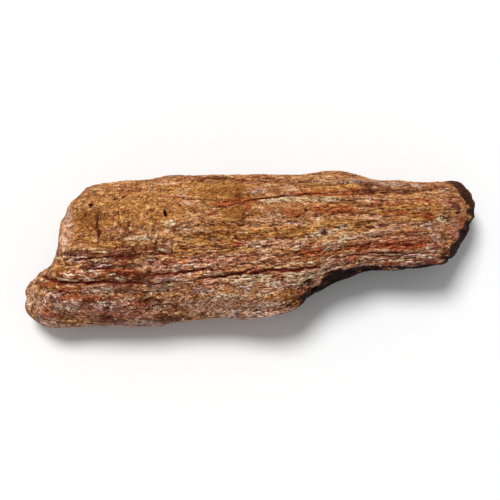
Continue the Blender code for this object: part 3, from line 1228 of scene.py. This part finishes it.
@dataclass
class FossilClaw:
    """The one piece. Lengths are in millimetres.

    A zone is a stretch along or across the claw. The ranges named upward and end_on say how far the
    surface faces up or along the claw, and the others are levels of noise.
    """

    weld: float = 0.001
    skin_pitch: float = 0.17
    most_triangles: int = 198000
    grain_stretch: float = 2.2
    rounding: int = 12
    turning: int = 12
    fine_smoothing: int = 8
    fine_depth: float = 0.07
    broad_smoothing: int = 60
    broad_depth: float = 0.4
    nose_across: float = -11.2
    nose_width: float = 1.9
    nose_height: float = 0.42
    nose_zone: Range = (-43.2, -44.8)
    upward: Range = (0.05, 0.45)
    end_on: Range = (0.55, 0.85)
    left_zone: Range = (-44.0, -18.0)
    left_ruggedness: float = 0.75
    rugged_zone: Range = (7.0, -6.0)
    rugged_fraying: float = 3.0
    grain: Grain = Grain()
    weathering: Weathering = Weathering()
    painted_shade_walls: PaintedShadeWalls = PaintedShadeWalls()
    finish: FossilBoneFinish = FossilBoneFinish()
    crack_wander: Texture = Texture((1.5, 50.0, 50.0), 5.0, 3, height=0.28)
    crack_raggedness: Texture = Texture((0.9, 0.6, 0.6), 9.0, 2, height=1.3)
    crack_breaks: Texture = Texture((2.4, 3.0, 3.0), 11.0, 2)
    crack_whole: Range = (-0.6, -0.3)
    shallow_breaks: Texture = Texture((1.8, 2.0, 2.0), 13.0, 2)
    shallow_whole: Range = (-0.1, 0.25)
    crack_upward: Range = (0.05, 0.35)
    crack_side_width: float = 1.8
    fissures: tuple[Fissure, ...] = (
        Fissure(
            ((-42.5, -5.2), (-41.3, -5.8), (-39, -6.9), (-36, -7.7), (-30, -7.8), (-20.6, -8.1)),
            width=0.26, depth=0.7, fill=0.6, fill_reach=0.66,
        ),
        Fissure(
            ((-20.6, -6.8), (-16, -6.3), (-11.4, -5.8), (-7.5, -5.3)),
            width=0.22, depth=0.5, fill=0.5, fill_reach=0.62,
        ),
        Fissure(
            ((-10.2, -7.3), (-5.4, -6.7), (-2.1, -6.3), (-0.3, -5.6), (1.4, -5.2)),
            width=0.22, depth=0.5, fill=0.45, fill_reach=0.62,
        ),
        Fissure(
            ((-1, -6.3), (2, -6), (3.6, -5.6), (8.7, -5.5), (11.4, -5.1), (14, -4.8)),
            width=0.26, depth=0.6, fill=0.45, fill_reach=0.62,
        ),
        Fissure(
            ((17, -2.9), (21, -2.1), (28.5, -2.1), (32.2, -1.6), (38.7, -1.6)),
            width=0.1, depth=0.3, fill=0.42, fill_reach=0.58,
        ),
        Fissure(
            ((-35.2, -3.6), (-32.5, -3.2), (-26.7, -3), (-14, -2.4)),
            width=0.075, depth=0.22, fill=0.3, fill_reach=0.58,
        ),
        Fissure(
            ((-33.6, -4.8), (-30.7, -5.4), (-24, -5)),
            width=0.1, depth=0.25, fill=0.25, fill_reach=0.58,
        ),
        Fissure(
            ((-14.8, 9), (-12.6, 8.6), (-8.6, 8.3)),
            width=0.07, depth=0.15, fill=0.22, fill_reach=0.58,
        ),
        Fissure(
            ((-8, 6.7), (-4.8, 6.7), (-2, 7.6), (-0.3, 8.2), (4.8, 8.8), (7.4, 9.3)),
            width=0.1, depth=0.15, fill=0.5, fill_reach=0.75,
        ),
        Fissure(
            ((7.4, 9.3), (18, 10.1), (23.5, 10.6)),
            width=0.1, depth=0.15, fill=0.38, fill_reach=0.62,
        ),
    )
    pits: tuple[Pit, ...] = (
        Pit(-32.0, 8.1, 0.5, 0.3, 0.5, 20.0),
        Pit(-30.4, 4.4, 1.1, 0.2, 0.5, 86.0),
        Pit(-30.0, 1.4, 0.8, 0.24, 0.5, 80.0),
        Pit(-27.2, 9.2, 0.6, 0.25, 0.5, 15.0),
        Pit(-25.4, 9.6, 0.4, 0.25, 0.4, 30.0),
        Pit(-20.6, -1.4, 0.7, 0.2, 0.5, 100.0),
        Pit(-18.8, -0.9, 0.9, 0.2, 0.5, 70.0),
        Pit(-16.9, 5.5, 0.7, 0.34, 1.0, -68.0, fill=0.8),
        Pit(-15.6, -1.8, 1.1, 0.22, 0.6, 84.0),
        Pit(4.6, 2.4, 0.35, 0.3, 0.4),
        Pit(10.7, 6.2, 0.4, 0.3, 0.4),
        Pit(12.7, -8.8, 0.9, 0.5, 0.9, 25.0),
        Pit(14.4, 1.7, 0.6, 0.3, 0.4, 10.0),
        Pit(41.2, 6.6, 0.6, 0.4, 0.4, 40.0),
    )
    crumbly: Patches = patches(
        (-27, 6, 16, 7, 0.9), (-22, -12, 26, 3.4, 0.9), (-8, 10, 8, 3, 0.7),
        (1, 6.5, 9, 4, 0.6), (5, -10.5, 9, 2.4, 0.6), (14, 11, 12, 2, 0.6),
    )
    stain_edges: Texture = Texture((3.4, 1.3, 1.3), 71.0, 3)
    stain_upward: Range = (-0.25, 0.1)
    hidden_stains: Texture = Texture((9.0, 3.4, 3.4), 80.0, 2)
    hidden_seed_step: float = 7.0
    hidden_level: Range = (0.1, 0.6)
    hidden_strength: float = 0.7
    hidden_dark_strength: float = 0.35
    stains: tuple[Stain, ...] = (
        Stain(
            Mineral.OCHRE,
            patches(
                (-41.2, -8.1, 2.2, 1.1, 0.9), (-37.5, -5.2, 2.2, 1.4, 0.8), (-36.4, -12.6, 4, 0.9, 0.5),
                (-32.8, 0.8, 2, 0.8, 0.9), (-30.4, 4.4, 5, 4, 0.7), (-29, -0.4, 6, 0.8, 0.7),
                (-24, 6.5, 15, 6.5, 0.5), (-22, -15.8, 3, 0.8, 0.5), (-18, 0.6, 6, 0.8, 0.4),
                (-17, -1.4, 2.4, 0.9, 0.6), (-15.6, 11.6, 4, 1, 1), (-14, -1.8, 5, 0.9, 0.7),
                (-14, 11.8, 7, 1, 0.9), (-13.4, 6.6, 3.6, 2.2, 0.5), (-13, 8.6, 3.6, 1, 0.8),
                (-13, 11, 8, 1.8, 0.8), (-12, -4, 4, 0.9, 0.6), (-10, -10.6, 3, 0.8, 0.5),
                (-10, -4.3, 1.8, 0.8, 0.9), (-10, -2.6, 10, 1, 0.7, 0.06), (-9.4, -3.2, 2.6, 1.4, 0.9),
                (-8, 0.2, 7, 1.4, 0.8), (-6.5, -9.3, 2.6, 0.8, 0.7), (-6.4, -12.8, 3, 1, 0.4),
                (-6, -2.8, 4, 1.2, 0.9), (-5.5, 9.4, 5.5, 3, 1), (-3.5, 5, 3.5, 2, 0.8),
                (-3, -1.6, 5, 1.2, 1, 0.2), (-2, 8.7, 4, 1.3, 1), (0.2, 5, 1.8, 1.4, 0.9),
                (0.4, 1.2, 2.4, 1.2, 0.9), (0.5, 0.8, 3, 1, 0.8), (1.4, 0.6, 2.4, 1, 0.9),
                (3.1, -10.2, 2.6, 0.8, 0.9), (4, -9, 1.8, 0.8, 0.8), (6, -1.4, 3, 0.9, 0.6),
                (7, 1.9, 8, 1.1, 0.8, 0.04), (12, 1.3, 2.6, 1, 0.7), (12.4, 1.6, 2.4, 0.7, 0.9),
                (14, 7, 6, 1, 0.6), (14, 10.6, 9, 1.8, 0.5), (14.4, 6.8, 3, 1.2, 0.8),
                (18, 3.4, 6, 1.4, 1, 0.05), (18.4, 11.6, 4, 0.9, 0.8), (18.5, -2, 5, 1, 0.5),
                (18.8, 4.2, 3, 1, 0.9), (21, 0, 5, 1.4, 1), (23.4, 2.9, 5, 1.4, 1, 0.1), (24, 4, 6, 1.2, 1),
                (31.5, 6.8, 8, 1.5, 1), (33.4, 5.4, 3, 0.9, 0.9), (33.4, 6.1, 2.4, 0.9, 0.8),
            ),
        ),
        Stain(
            Mineral.BRONZE,
            patches(
                (-31.5, 4.6, 3.4, 2.4, 0.9), (-29, 1.8, 2, 2, 0.6), (-26.6, 2.6, 2.6, 1, 0.7),
                (-7, 10, 3.6, 1.8, 0.5), (-5.6, 1.6, 3.6, 2, 1), (-3, 5.8, 3.4, 1.6, 1),
                (-3, 9.6, 2.6, 1.6, 0.8), (8, -10.6, 2.4, 1.8, 0.9), (11.8, 11.8, 9, 1.1, 0.5),
            ),
        ),
        Stain(
            Mineral.RUST,
            patches(
                (-40.3, -13.4, 1.8, 1, 0.6), (-39.2, -7.6, 3.2, 0.6, 0.7), (-36, -8.9, 3, 0.6, 0.7),
                (-35.7, -10.2, 1.9, 0.8, 0.9), (-31.5, -10.8, 3, 0.8, 0.5), (-25.2, -6.4, 2.2, 0.7, 0.9),
                (-25, -6, 4, 0.8, 0.7), (-20, -11.8, 3.6, 0.8, 0.5), (-17, -13.6, 2.4, 0.7, 0.6),
                (-15, -12.6, 6, 0.5, 0.4), (-15, 8.8, 3.6, 0.4, 0.6, -0.08), (-13, -3.7, 1.8, 0.5, 0.7),
                (-10.4, -4.2, 2.6, 0.4, 0.4, 0.1), (-7.8, 5.4, 1.8, 0.8, 0.5), (-3, 7.7, 6, 1, 0.8, 0.1),
                (-2, -0.6, 3, 0.9, 0.5, 0.3), (-0.6, 7, 0.9, 2.2, 0.7), (1.4, 0.8, 1.8, 0.6, 0.5),
                (4.8, -4.2, 3, 1, 0.5), (8, 5.6, 3, 1, 0.55), (12, -2, 3.4, 0.7, 0.7, 0.12),
                (15.2, -1.5, 3, 0.6, 0.6), (16.5, 6.3, 5, 0.9, 0.8, -0.03), (17.1, 9.9, 10, 0.7, 0.9, 0.04),
                (20, -3.1, 1.6, 0.7, 0.7), (20.6, 10.6, 2.2, 0.7, 0.7), (21, -1.2, 4, 0.6, 0.5),
                (21, 10.2, 3, 0.8, 0.6), (22.6, -1, 4, 0.8, 0.6, 0.1), (26.8, -3.3, 1.6, 0.6, 0.5),
                (27, 7.8, 6, 0.4, 0.6), (28, 6.5, 10, 3.6, 0.3), (29, 6, 5, 0.6, 0.5),
                (31, -0.2, 6.6, 1.2, 0.75, 0.06), (34.5, 8.6, 3.5, 0.6, 0.5), (35.2, 5.4, 2.2, 1, 0.7),
                (42.3, 4, 1, 1.8, 0.7),
            ),
        ),
        Stain(
            Mineral.ROSE,
            patches(
                (-28, -12.6, 12, 2.4, 0.6), (-27.4, 2.5, 3.2, 0.8, 0.5), (-17, -4.6, 4, 1.4, 0.6),
                (-7, -3.6, 12, 1.6, 0.5, 0.06), (0.6, 9.6, 4, 1, 0.4), (12.5, -6.4, 2.4, 1, 0.6),
                (13, 7.6, 5, 1, 0.4), (14, -6.6, 4, 1.2, 0.8, 0.4), (28, 0.2, 12, 2, 0.5, 0.12),
                (40, 8.6, 2.6, 2, 0.6), (40.6, 3.4, 1.6, 4, 0.7),
            ),
        ),
        Stain(
            # Stains, and painted highlights on some ledge lips above the fissures.
            Mineral.PEACH,
            patches(
                (-43.9, -9.6, 1.2, 2.6, 0.9), (-40.6, -13, 2.6, 2, 0.5), (-36.8, 0.6, 1.2, 4, 0.8),
                (-34.4, -6.9, 3.4, 0.6, 1), (-34, -15.8, 8, 0.8, 0.6), (-33.4, -6.4, 4.6, 0.8, 1),
                (-32.8, -4.1, 3.6, 0.4, 0.5), (-28, -15.8, 2.4, 0.9, 0.8), (-25, -11.2, 2.4, 1, 0.6),
                (-18, -13, 3.6, 0.8, 0.6), (-18, -12, 3, 0.6, 0.6), (-17, 12.4, 5, 0.6, 0.5),
                (-16.4, -5.6, 2.6, 0.7, 0.8), (-16.2, -1.8, 0.9, 2, 0.7), (-14.6, 8.9, 3.6, 0.6, 0.7),
                (-13.5, 10.6, 3, 1.2, 0.4), (-13.2, -11.4, 2, 1.6, 0.6), (-12.9, -5, 2.8, 0.5, 0.8),
                (-12.2, 8, 2.4, 0.8, 0.6), (-10.8, -4.4, 3.4, 1.2, 1), (-10.6, -12.2, 2.8, 1.4, 0.8),
                (-8.4, -4.9, 5, 0.7, 1, 0.1), (-7, -8.4, 2.6, 1.4, 0.7), (-6.2, -6.5, 2.6, 0.7, 0.9),
                (-5.8, -12, 2.6, 1.6, 0.9), (-1.2, -12.4, 1.6, 1.4, 0.9), (2.6, 4.1, 3.4, 0.8, 0.7),
                (3, -3.4, 2.4, 0.9, 0.7), (3.8, -9.4, 2.6, 0.8, 0.8), (4.6, -12.6, 3, 1.2, 0.7),
                (4.6, -0.6, 7, 0.9, 0.8), (4.8, 4.2, 1.8, 0.8, 0.8), (7.8, 10.4, 1.8, 1.6, 0.6),
                (10.4, -7.8, 1.4, 1, 0.7), (12.8, 4.6, 2.4, 1, 0.6), (14.6, -5.2, 3.6, 1.4, 0.9, 0.4),
                (17.6, -3.5, 2.6, 0.7, 0.8), (18, 5, 4, 0.7, 0.4), (19.5, 0.9, 8.5, 0.45, 0.8, 0.3),
                (20, -2.8, 4, 0.7, 0.7), (23, -5.1, 1.6, 0.6, 0.8), (23.6, 4.9, 3, 0.6, 0.7),
                (24, -1.8, 5, 1.4, 0.4), (24, 8.6, 7, 0.8, 0.5), (26.6, -3.2, 5.4, 0.8, 1),
                (28, 3.6, 6, 0.8, 0.7), (33, 6.8, 1.6, 0.7, 0.5),
            ),
        ),
        Stain(
            Mineral.CREAM,
            patches(
                (-29, -3.6, 2.4, 0.6, 0.6), (-21.7, 0.8, 3.2, 0.5, 1), (-20.5, 2.4, 4, 0.8, 0.3),
                (-18.5, 1.9, 4, 1.2, 0.3), (-18.4, -9.4, 2, 0.6, 0.6), (-18, -12.2, 3, 0.6, 0.5),
                (-16, 3.4, 1.8, 0.8, 0.45), (-15.6, -6.2, 2.2, 0.5, 0.5), (-12.6, 2.4, 1.6, 2.4, 0.4),
                (-10.8, 4.8, 2, 1, 0.35), (-7.2, 0, 1, 1, 0.5), (-6.5, -7.1, 1.2, 0.7, 0.7),
                (-4, -10.6, 6, 0.8, 0.5), (-1.2, -7.8, 3.4, 0.8, 0.6), (-1.2, -6.9, 2, 0.55, 0.8),
                (1.6, -10.2, 1.2, 0.8, 0.7), (2, -7.2, 2.4, 0.7, 0.7), (3.8, 7.9, 3, 0.6, 0.6),
                (4.4, 5.2, 2.4, 0.8, 0.4), (6.6, 8.5, 2, 0.8, 0.65), (8.4, -6.8, 2.4, 0.8, 0.8),
                (9.6, -7.2, 1.6, 1.5, 0.8), (9.8, -6.9, 3, 0.9, 0.7, 0.25), (10.2, -6.6, 1.8, 1, 0.8),
                (12.8, 1.4, 2.6, 0.9, 0.6, 0.4), (14, 8.4, 7, 0.7, 0.6), (15, 12, 6, 0.9, 0.3),
                (16.4, -1, 3, 0.6, 0.6, 0.3), (17.4, 2.6, 2.2, 0.8, 0.6, 0.3), (17.9, 1, 1.6, 1, 0.7),
                (29, -2.8, 2.4, 0.6, 0.6), (38.2, 5.1, 1.8, 1.1, 1),
            ),
        ),
        Stain(
            Mineral.LILAC,
            patches(
                (-41.6, -12, 1.8, 2.4, 0.3), (-41.4, -14.4, 2.4, 1.4, 0.7), (-41.2, -11, 1.6, 3, 0.45),
                (-38.6, -10.4, 2.6, 1, 0.7), (-38.6, -9.6, 3, 0.8, 0.4), (-36.6, -12, 4, 1.6, 0.5),
                (-36.4, 4.6, 0.9, 3.6, 0.6), (-34.2, 8.8, 1.2, 2, 0.3), (-34, -3.2, 2.6, 1.2, 0.5),
                (-29.5, -9.2, 5, 0.9, 0.5), (-29.4, -4.8, 2.6, 0.8, 0.5), (-28, -12, 4, 1.2, 0.5),
                (-27.4, 2.6, 3, 0.6, 0.25), (-18, -15.6, 24, 1.3, 0.7), (-18, -8.8, 4, 0.8, 0.5),
                (-16, -7.4, 4, 0.7, 0.7), (-12.2, -6.4, 2, 0.7, 0.5), (-10.8, 4.8, 2, 1, 0.3),
                (-9.6, -9.4, 3, 1.2, 0.6), (-3, -13.6, 3, 1.4, 0.9), (-1.2, -8.9, 2, 0.7, 0.6),
                (0, -13.4, 8, 1.6, 1), (1.1, 9.9, 2.4, 1, 0.5), (2, -14.4, 8, 0.8, 1), (5, -12.8, 5, 2, 0.6),
                (6, -8.2, 4, 1, 0.6), (6.6, -13.6, 4, 1.4, 0.9), (8.6, 3.6, 3, 0.6, 0.5),
                (14.7, 1.9, 1.8, 0.8, 0.8), (25, 2, 5, 0.6, 0.5, 0.16), (25, 12.4, 16, 0.7, 0.5),
                (28, -3.9, 10, 1, 0.6), (29.6, -1.4, 3, 0.7, 0.4), (33, -2, 4, 0.8, 0.7),
                (34.6, -2.4, 3, 0.8, 0.6), (35, 3.6, 2.6, 1.2, 0.5), (35.6, -0.4, 3, 1, 0.5),
                (36.6, 0.4, 1.6, 2.2, 0.5), (38.6, 11.1, 1.6, 0.9, 0.4),
            ),
        ),
        Stain(
            Mineral.UMBER,
            patches(
                (-40, -12, 1.2, 1.4, 0.3), (-39.2, -10.8, 1.4, 0.8, 0.6), (-34.4, -2, 3.4, 0.7, 0.7),
                (-33, 7.2, 2.4, 0.8, 0.4), (-32, -11.4, 1.8, 0.9, 0.7), (-31.6, -4.8, 2, 1.6, 0.5),
                (-30.6, -2.4, 2.2, 0.7, 0.6), (-30.4, 3.6, 0.7, 2.4, 0.5), (-30.2, 4.9, 1, 1, 0.7),
                (-29, -14, 3, 0.6, 0.5), (-28.6, 7, 5, 1, 0.4), (-28, -11, 1, 2.2, 0.5),
                (-26.6, -12.4, 1.4, 1.6, 0.4), (-26.5, 6, 1.8, 0.9, 0.5), (-26.4, -6.3, 2.2, 0.7, 0.6),
                (-25.4, -2.6, 6, 1.2, 0.7), (-24.5, -9.2, 2.8, 0.6, 0.5), (-24.1, 2.8, 0.4, 1.6, 0.7),
                (-23.4, -5, 3, 0.8, 0.7), (-21, 4.6, 2, 0.6, 0.3), (-20.6, -7, 2.6, 1, 0.7),
                (-20, -11.1, 2.8, 0.7, 0.7), (-20, -3.6, 2.6, 0.8, 0.6), (-19.4, -4.4, 1.6, 0.7, 0.5),
                (-17.8, -1.7, 2, 0.9, 0.8), (-16.8, -7.6, 2, 0.7, 0.6), (-16, -14.2, 5, 0.9, 0.6),
                (-14.6, 2, 1, 1.4, 0.5), (-10.2, 1.2, 1.2, 0.6, 0.6), (-9.5, -14, 1.8, 1.2, 0.5),
                (-6.4, 13.2, 4, 0.6, 0.6), (-5.6, -2.6, 1.4, 0.7, 0.6), (-1.6, 7, 3, 0.5, 0.4),
                (-1.5, 4.7, 0.6, 1.6, 0.6), (-1.2, 5.9, 1.4, 0.6, 0.6), (2.6, -1, 1.8, 1, 0.4),
                (4, -1.9, 2, 0.7, 0.4), (4, 12.5, 4, 0.7, 0.4), (11, -1.4, 2.2, 0.5, 0.5),
                (13.4, -8.2, 1.4, 0.8, 0.7, 0.6), (16.6, -5.6, 3, 0.7, 0.8, 0.25), (23.2, 12, 2.8, 0.8, 0.7),
                (24, 10.6, 3.2, 1, 0.6), (26.5, 11.1, 2.4, 0.7, 0.5), (30, 10.8, 4, 0.8, 0.5),
                (32.5, -4.4, 4, 0.6, 0.6), (33.6, -4, 4, 0.8, 0.6), (37.6, -2.2, 1.6, 0.9, 0.5),
                (38.4, -1.4, 1.4, 0.8, 0.6), (41, 8, 1, 1.4, 0.6),
            ),
        ),
        Stain(
            Mineral.MAROON,
            patches(
                (-39.4, -6.7, 2.4, 0.45, 0.9, -0.33), (-36.4, -7.9, 1.6, 0.5, 0.9), (-30, 1.9, 0.8, 1, 0.6),
                (-28, -14.6, 6, 0.8, 0.5), (-25.8, -6.6, 2.6, 0.7, 0.8), (-25.5, -3, 5, 0.8, 0.5),
                (-25.4, -7.4, 3, 0.45, 0.9), (-24, -8.2, 6, 0.6, 0.7), (-22.6, -6.2, 2, 0.5, 0.6),
                (-13, -6, 5, 0.3, 0.7, 0.12), (-3, -6.15, 4, 0.35, 0.8, 0.14),
                (2.5, -5.8, 3.4, 0.45, 0.9, 0.05), (8.5, -5.5, 3.6, 0.4, 0.9, 0.06),
                (26, -2.3, 9, 0.3, 0.4, 0.06), (31.8, 1.8, 2.4, 0.8, 0.7), (34, -3, 3, 0.5, 0.8),
            ),
        ),
        # Dark spots; the painted shade of the steep walls is added to this weight in stain().
        Stain(
            Mineral.MANGANESE_AND_SHADE,
            patches(
                (-32, 8.1, 0.5, 0.3, 0.7), (-25.4, 9.6, 0.5, 0.35, 0.6), (-16.9, 5.5, 0.35, 0.7, 0.9),
                (10.6, -10, 1.8, 1.6, 0.7, 0.5), (12.8, -8.2, 1.4, 0.7, 0.5, 0.5),
                (17, -5.3, 2.6, 0.5, 0.75, 0.25), (38.6, -2.8, 2, 1.4, 0.7),
            ),
        ),
    )

    def make(self) -> bpy.types.Object:
        """Builds the claw, dresses it and puts it in the frame.

        Returns:
            The finished piece.
        """
        skin = Skin(self.fine_mesh())
        base, ways = skin.points.copy(), skin.outward(self.turning)
        places = self.grain.places(base)
        edge = self.stain_edges.at(places)
        crumbly = self.crumbly.weight(base, edge)
        cracks, sides = self.fissure_openness(base, ways)
        skin.write(self.carved(base, ways, places, crumbly, np.maximum(cracks, sides)))
        self.stain(skin, base, ways, places, edge)
        skin.mark(Mark.GRAIN, places)
        skin.mark(Mark.CRUMBLY, crumbly)
        skin.mark(Mark.RUGGED, self.ruggedness(base, edge))
        skin.mark(Mark.CRACK, cracks)
        skin.mark(Mark.CRACK_SIDE, sides)
        skin.mark(Mark.FINE_HOLLOW, skin.hollows(self.fine_smoothing, self.fine_depth))
        skin.mark(Mark.BROAD_HOLLOW, skin.hollows(self.broad_smoothing, self.broad_depth))
        skin.write(skin.points * MM)
        share = self.most_triangles / (2 * len(skin.mesh.polygons))
        mesh = modified(skin.mesh, ("DECIMATE", {"ratio": share}))
        mesh.shade_smooth()
        mesh.materials.append(self.finish.material())
        claw = bpy.data.objects.new("fossil_claw_surface", mesh)
        bpy.context.scene.collection.objects.link(claw)
        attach(claw, BODY)
        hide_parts(NODE)
        return claw

    def fine_mesh(self) -> bpy.types.Mesh:
        """Grows an even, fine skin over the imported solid.

        Returns:
            The skin in millimetres, with its points further apart along the grain than across it.
        """
        solid = bmesh.new()
        solid.from_mesh(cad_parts[NODE].data)
        bmesh.ops.remove_doubles(solid, verts=solid.verts, dist=self.weld * MM)
        bmesh.ops.scale(solid, verts=solid.verts, vec=(1 / (MM * self.grain_stretch), 1 / MM, 1 / MM))
        rough = bpy.data.meshes.new("rough")
        solid.to_mesh(rough)
        solid.free()
        mesh = modified(
            rough,
            ("REMESH", {"mode": "VOXEL", "voxel_size": self.skin_pitch}),
            ("SMOOTH", {"factor": 0.5, "iterations": self.rounding}),
        )
        points = np.empty(len(mesh.vertices) * 3)
        mesh.vertices.foreach_get("co", points)
        points = points.reshape(-1, 3) * (self.grain_stretch, 1, 1)
        mesh.vertices.foreach_set("co", points.ravel())
        mesh.update()
        return mesh

    def fissure_openness(self, base: np.ndarray, ways: np.ndarray) -> tuple[np.ndarray, np.ndarray]:
        """How far into the fissures every point lies.

        Args:
            base: the points of the smooth skin.
            ways: the way out of the claw at each point.

        Returns:
            One number a point for the cracks themselves, and one for the stained bone beside them.
        """
        wander = self.crack_wander.at(base)
        ragged = self.crack_raggedness.at(base)
        whole = ramp(self.crack_breaks.at(base), *self.crack_whole)
        shallow_whole = ramp(self.shallow_breaks.at(base), *self.shallow_whole)
        upper = ramp(ways[:, 2], *self.crack_upward)
        cracks, sides = [], []
        for crack in self.fissures:
            kept = shallow_whole if crack.shallow() else whole
            cracks.append(crack.openness(base, wander, ragged) * kept)
            sides.append(crack.openness(base, wander / 2, ragged + self.crack_side_width))
        return np.max(cracks, axis=0) * upper, np.max(sides, axis=0) * upper

    def carved(
        self, base: np.ndarray, ways: np.ndarray, places: np.ndarray, crumbly: np.ndarray, cracks: np.ndarray
    ) -> np.ndarray:
        """The points of the weathered surface.

        Args:
            base: the points of the smooth skin.
            ways: the way out of the claw at each point.
            places: the points in the grain's own coordinates.
            crumbly: where the fibres have crumbled to grains, from 0 to 1.
            cracks: how far into a fissure each point lies, from 0 to 1.

        Returns:
            The moved points.
        """
        broken = ramp(np.abs(ways[:, 0]), *self.end_on)
        upper = ramp(ways[:, 2], *self.upward)
        relief = self.weathering.relief(base, places, broken, crumbly)
        for crack in self.fissures:
            relief += upper * crack.filling(base)
        depths = [crack.depth * crack.taper(base) for crack in self.fissures]
        relief -= cracks * np.max(depths, axis=0)
        for pit in self.pits:
            relief += upper * (pit.filling(base) - pit.depth * pit.openness(base))
        points = base + ways * (relief + self.nose(base))[:, None]
        points[:, 2] = np.maximum(points[:, 2], 0)
        return points

    def nose(self, base: np.ndarray) -> np.ndarray:
        """How far the lower splinter's blunt left end swells past the solid, in millimetres."""
        aside = (base[:, 1] - self.nose_across) / self.nose_width
        return self.nose_height * (np.exp(-(aside**2)) * ramp(base[:, 0], *self.nose_zone))

    def ruggedness(self, base: np.ndarray, edge: np.ndarray) -> np.ndarray:
        """How coarse the surface is: 0 near the upper edge, 1 near the lower one."""
        smoother = self.left_ruggedness + (1 - self.left_ruggedness) * ramp(base[:, 0], *self.left_zone)
        return smoother * ramp(base[:, 1] + self.rugged_fraying * edge, *self.rugged_zone)

    def stain(
        self, skin: Skin, base: np.ndarray, ways: np.ndarray, places: np.ndarray, edge: np.ndarray
    ) -> None:
        """Stores the minerals on the skin, placed one by one on the upper face and scattered elsewhere.

        Args:
            skin: the carved skin.
            base: the points before carving.
            ways: the way out of the claw at each point.
            places: the points in the grain's own coordinates.
            edge: noise that frays the stains' edges.
        """
        upper = ramp(ways[:, 2], *self.stain_upward)
        for number, stain in enumerate(self.stains):
            seed = self.hidden_stains.seed + self.hidden_seed_step * number
            scatter = replace(self.hidden_stains, seed=seed).at(places)
            strength = self.hidden_dark_strength if stain.mineral in DARK_MINERALS else self.hidden_strength
            hidden = (1 - upper) * strength * ramp(scatter, *self.hidden_level)
            weight = upper * stain.places.weight(base, edge) + hidden
            # Painted shade: the steep walls are laid into this weight.
            if stain.mineral is Mineral.MANGANESE_AND_SHADE:
                weight = np.maximum(weight, self.painted_shade_walls.weight(base, ways, edge))
            skin.mark(stain.mineral, weight)


@dataclass(frozen=True)
class PaleFloorFinish:
    """Plain matt off-white."""

    shade: float = 0.86
    roughness: float = 0.9
    gloss: float = 0.1

    def material(self) -> bpy.types.Material:
        """Makes the floor's material.

        Returns:
            The material.
        """
        material = bpy.data.materials.new("pale_floor")
        material.use_nodes = True
        shader = material.node_tree.nodes["Principled BSDF"]
        shader.inputs["Base Color"].default_value = (self.shade, self.shade, self.shade, 1)
        shader.inputs["Roughness"].default_value = self.roughness
        shader.inputs["Specular IOR Level"].default_value = self.gloss
        return material


@dataclass(frozen=True)
class SoftLight:
    """A large, far studio light: where it stands, how wide it looks and its strength, angles in degrees."""

    name: str
    azimuth: float
    elevation: float
    width: float
    strength: float

    def make(self) -> bpy.types.Object:
        """Builds the light, turned to the middle of the floor.

        Returns:
            The light.
        """
        turn, lift = math.radians(self.azimuth), math.radians(self.elevation)
        away = Vector((math.sin(turn) * math.cos(lift), -math.cos(turn) * math.cos(lift), math.sin(lift)))
        lamp = bpy.data.lights.new(self.name, "SUN")
        lamp.angle = math.radians(self.width)
        lamp.energy = self.strength
        light = bpy.data.objects.new(self.name, lamp)
        light.location = away
        light.rotation_euler = (-away).to_track_quat("-Z", "Y").to_euler()
        bpy.context.scene.collection.objects.link(light)
        return light


@dataclass(frozen=True)
class Studio:
    """The floor, the light and the camera. Lengths are in metres."""

    floor_side: float = 3.0
    floor_finish: PaleFloorFinish = PaleFloorFinish()
    sky_strength: float = 0.4
    key: SoftLight = SoftLight("key_light", azimuth=210.0, elevation=62.0, width=24.0, strength=2.8)
    lens_mm: float = 85.0
    nearest: float = 0.01
    camera_elevation: float = 78.0
    camera_distance: float = 0.238
    target: Triple = (-0.0003, -0.0001, 0.008)

    def make_floor(self) -> bpy.types.Object:
        """Builds the pale floor that the claw lies on.

        Returns:
            The floor.
        """
        sheet = bmesh.new()
        bmesh.ops.create_grid(sheet, x_segments=1, y_segments=1, size=self.floor_side / 2)
        mesh = bpy.data.meshes.new("floor")
        sheet.to_mesh(mesh)
        sheet.free()
        mesh.materials.append(self.floor_finish.material())
        floor = bpy.data.objects.new("floor", mesh)
        bpy.context.scene.collection.objects.link(floor)
        return floor

    def make_sky(self) -> None:
        """Lights the scene evenly from all round."""
        world = bpy.data.worlds.new("studio")
        world.use_nodes = True
        background = world.node_tree.nodes["Background"]
        background.inputs["Color"].default_value = (1, 1, 1, 1)
        background.inputs["Strength"].default_value = self.sky_strength
        bpy.context.scene.world = world

    def make_camera(self) -> bpy.types.Object:
        """Builds the camera, which looks down on the claw as the photo does.

        Returns:
            The camera.
        """
        lift = math.radians(self.camera_elevation)
        away = Vector((0, -math.cos(lift), math.sin(lift)))
        lens = bpy.data.cameras.new("camera")
        lens.lens = self.lens_mm
        lens.clip_start = self.nearest
        camera = bpy.data.objects.new("camera", lens)
        camera.location = Vector(self.target) + away * self.camera_distance
        camera.rotation_euler = (-away).to_track_quat("-Z", "Y").to_euler()
        bpy.context.scene.collection.objects.link(camera)
        bpy.context.scene.camera = camera
        return camera

    def make(self) -> None:
        """Builds the studio and sets plain, true colours."""
        self.make_floor()
        self.make_sky()
        self.key.make()
        self.make_camera()
        bpy.context.scene.view_settings.view_transform = "Standard"
        bpy.context.scene.view_settings.look = "None"


def main() -> None:
    """Builds the claw and the studio, and reports them."""
    logging.basicConfig(level=logging.INFO, format="%(name)s: %(message)s")
    claw = FossilClaw().make()
    log.info("%s has %d vertices and %d faces", claw.name, len(claw.data.vertices), len(claw.data.polygons))
    Studio().make()
    log.info("the studio is set up")


if __name__ == "__main__":
    main()
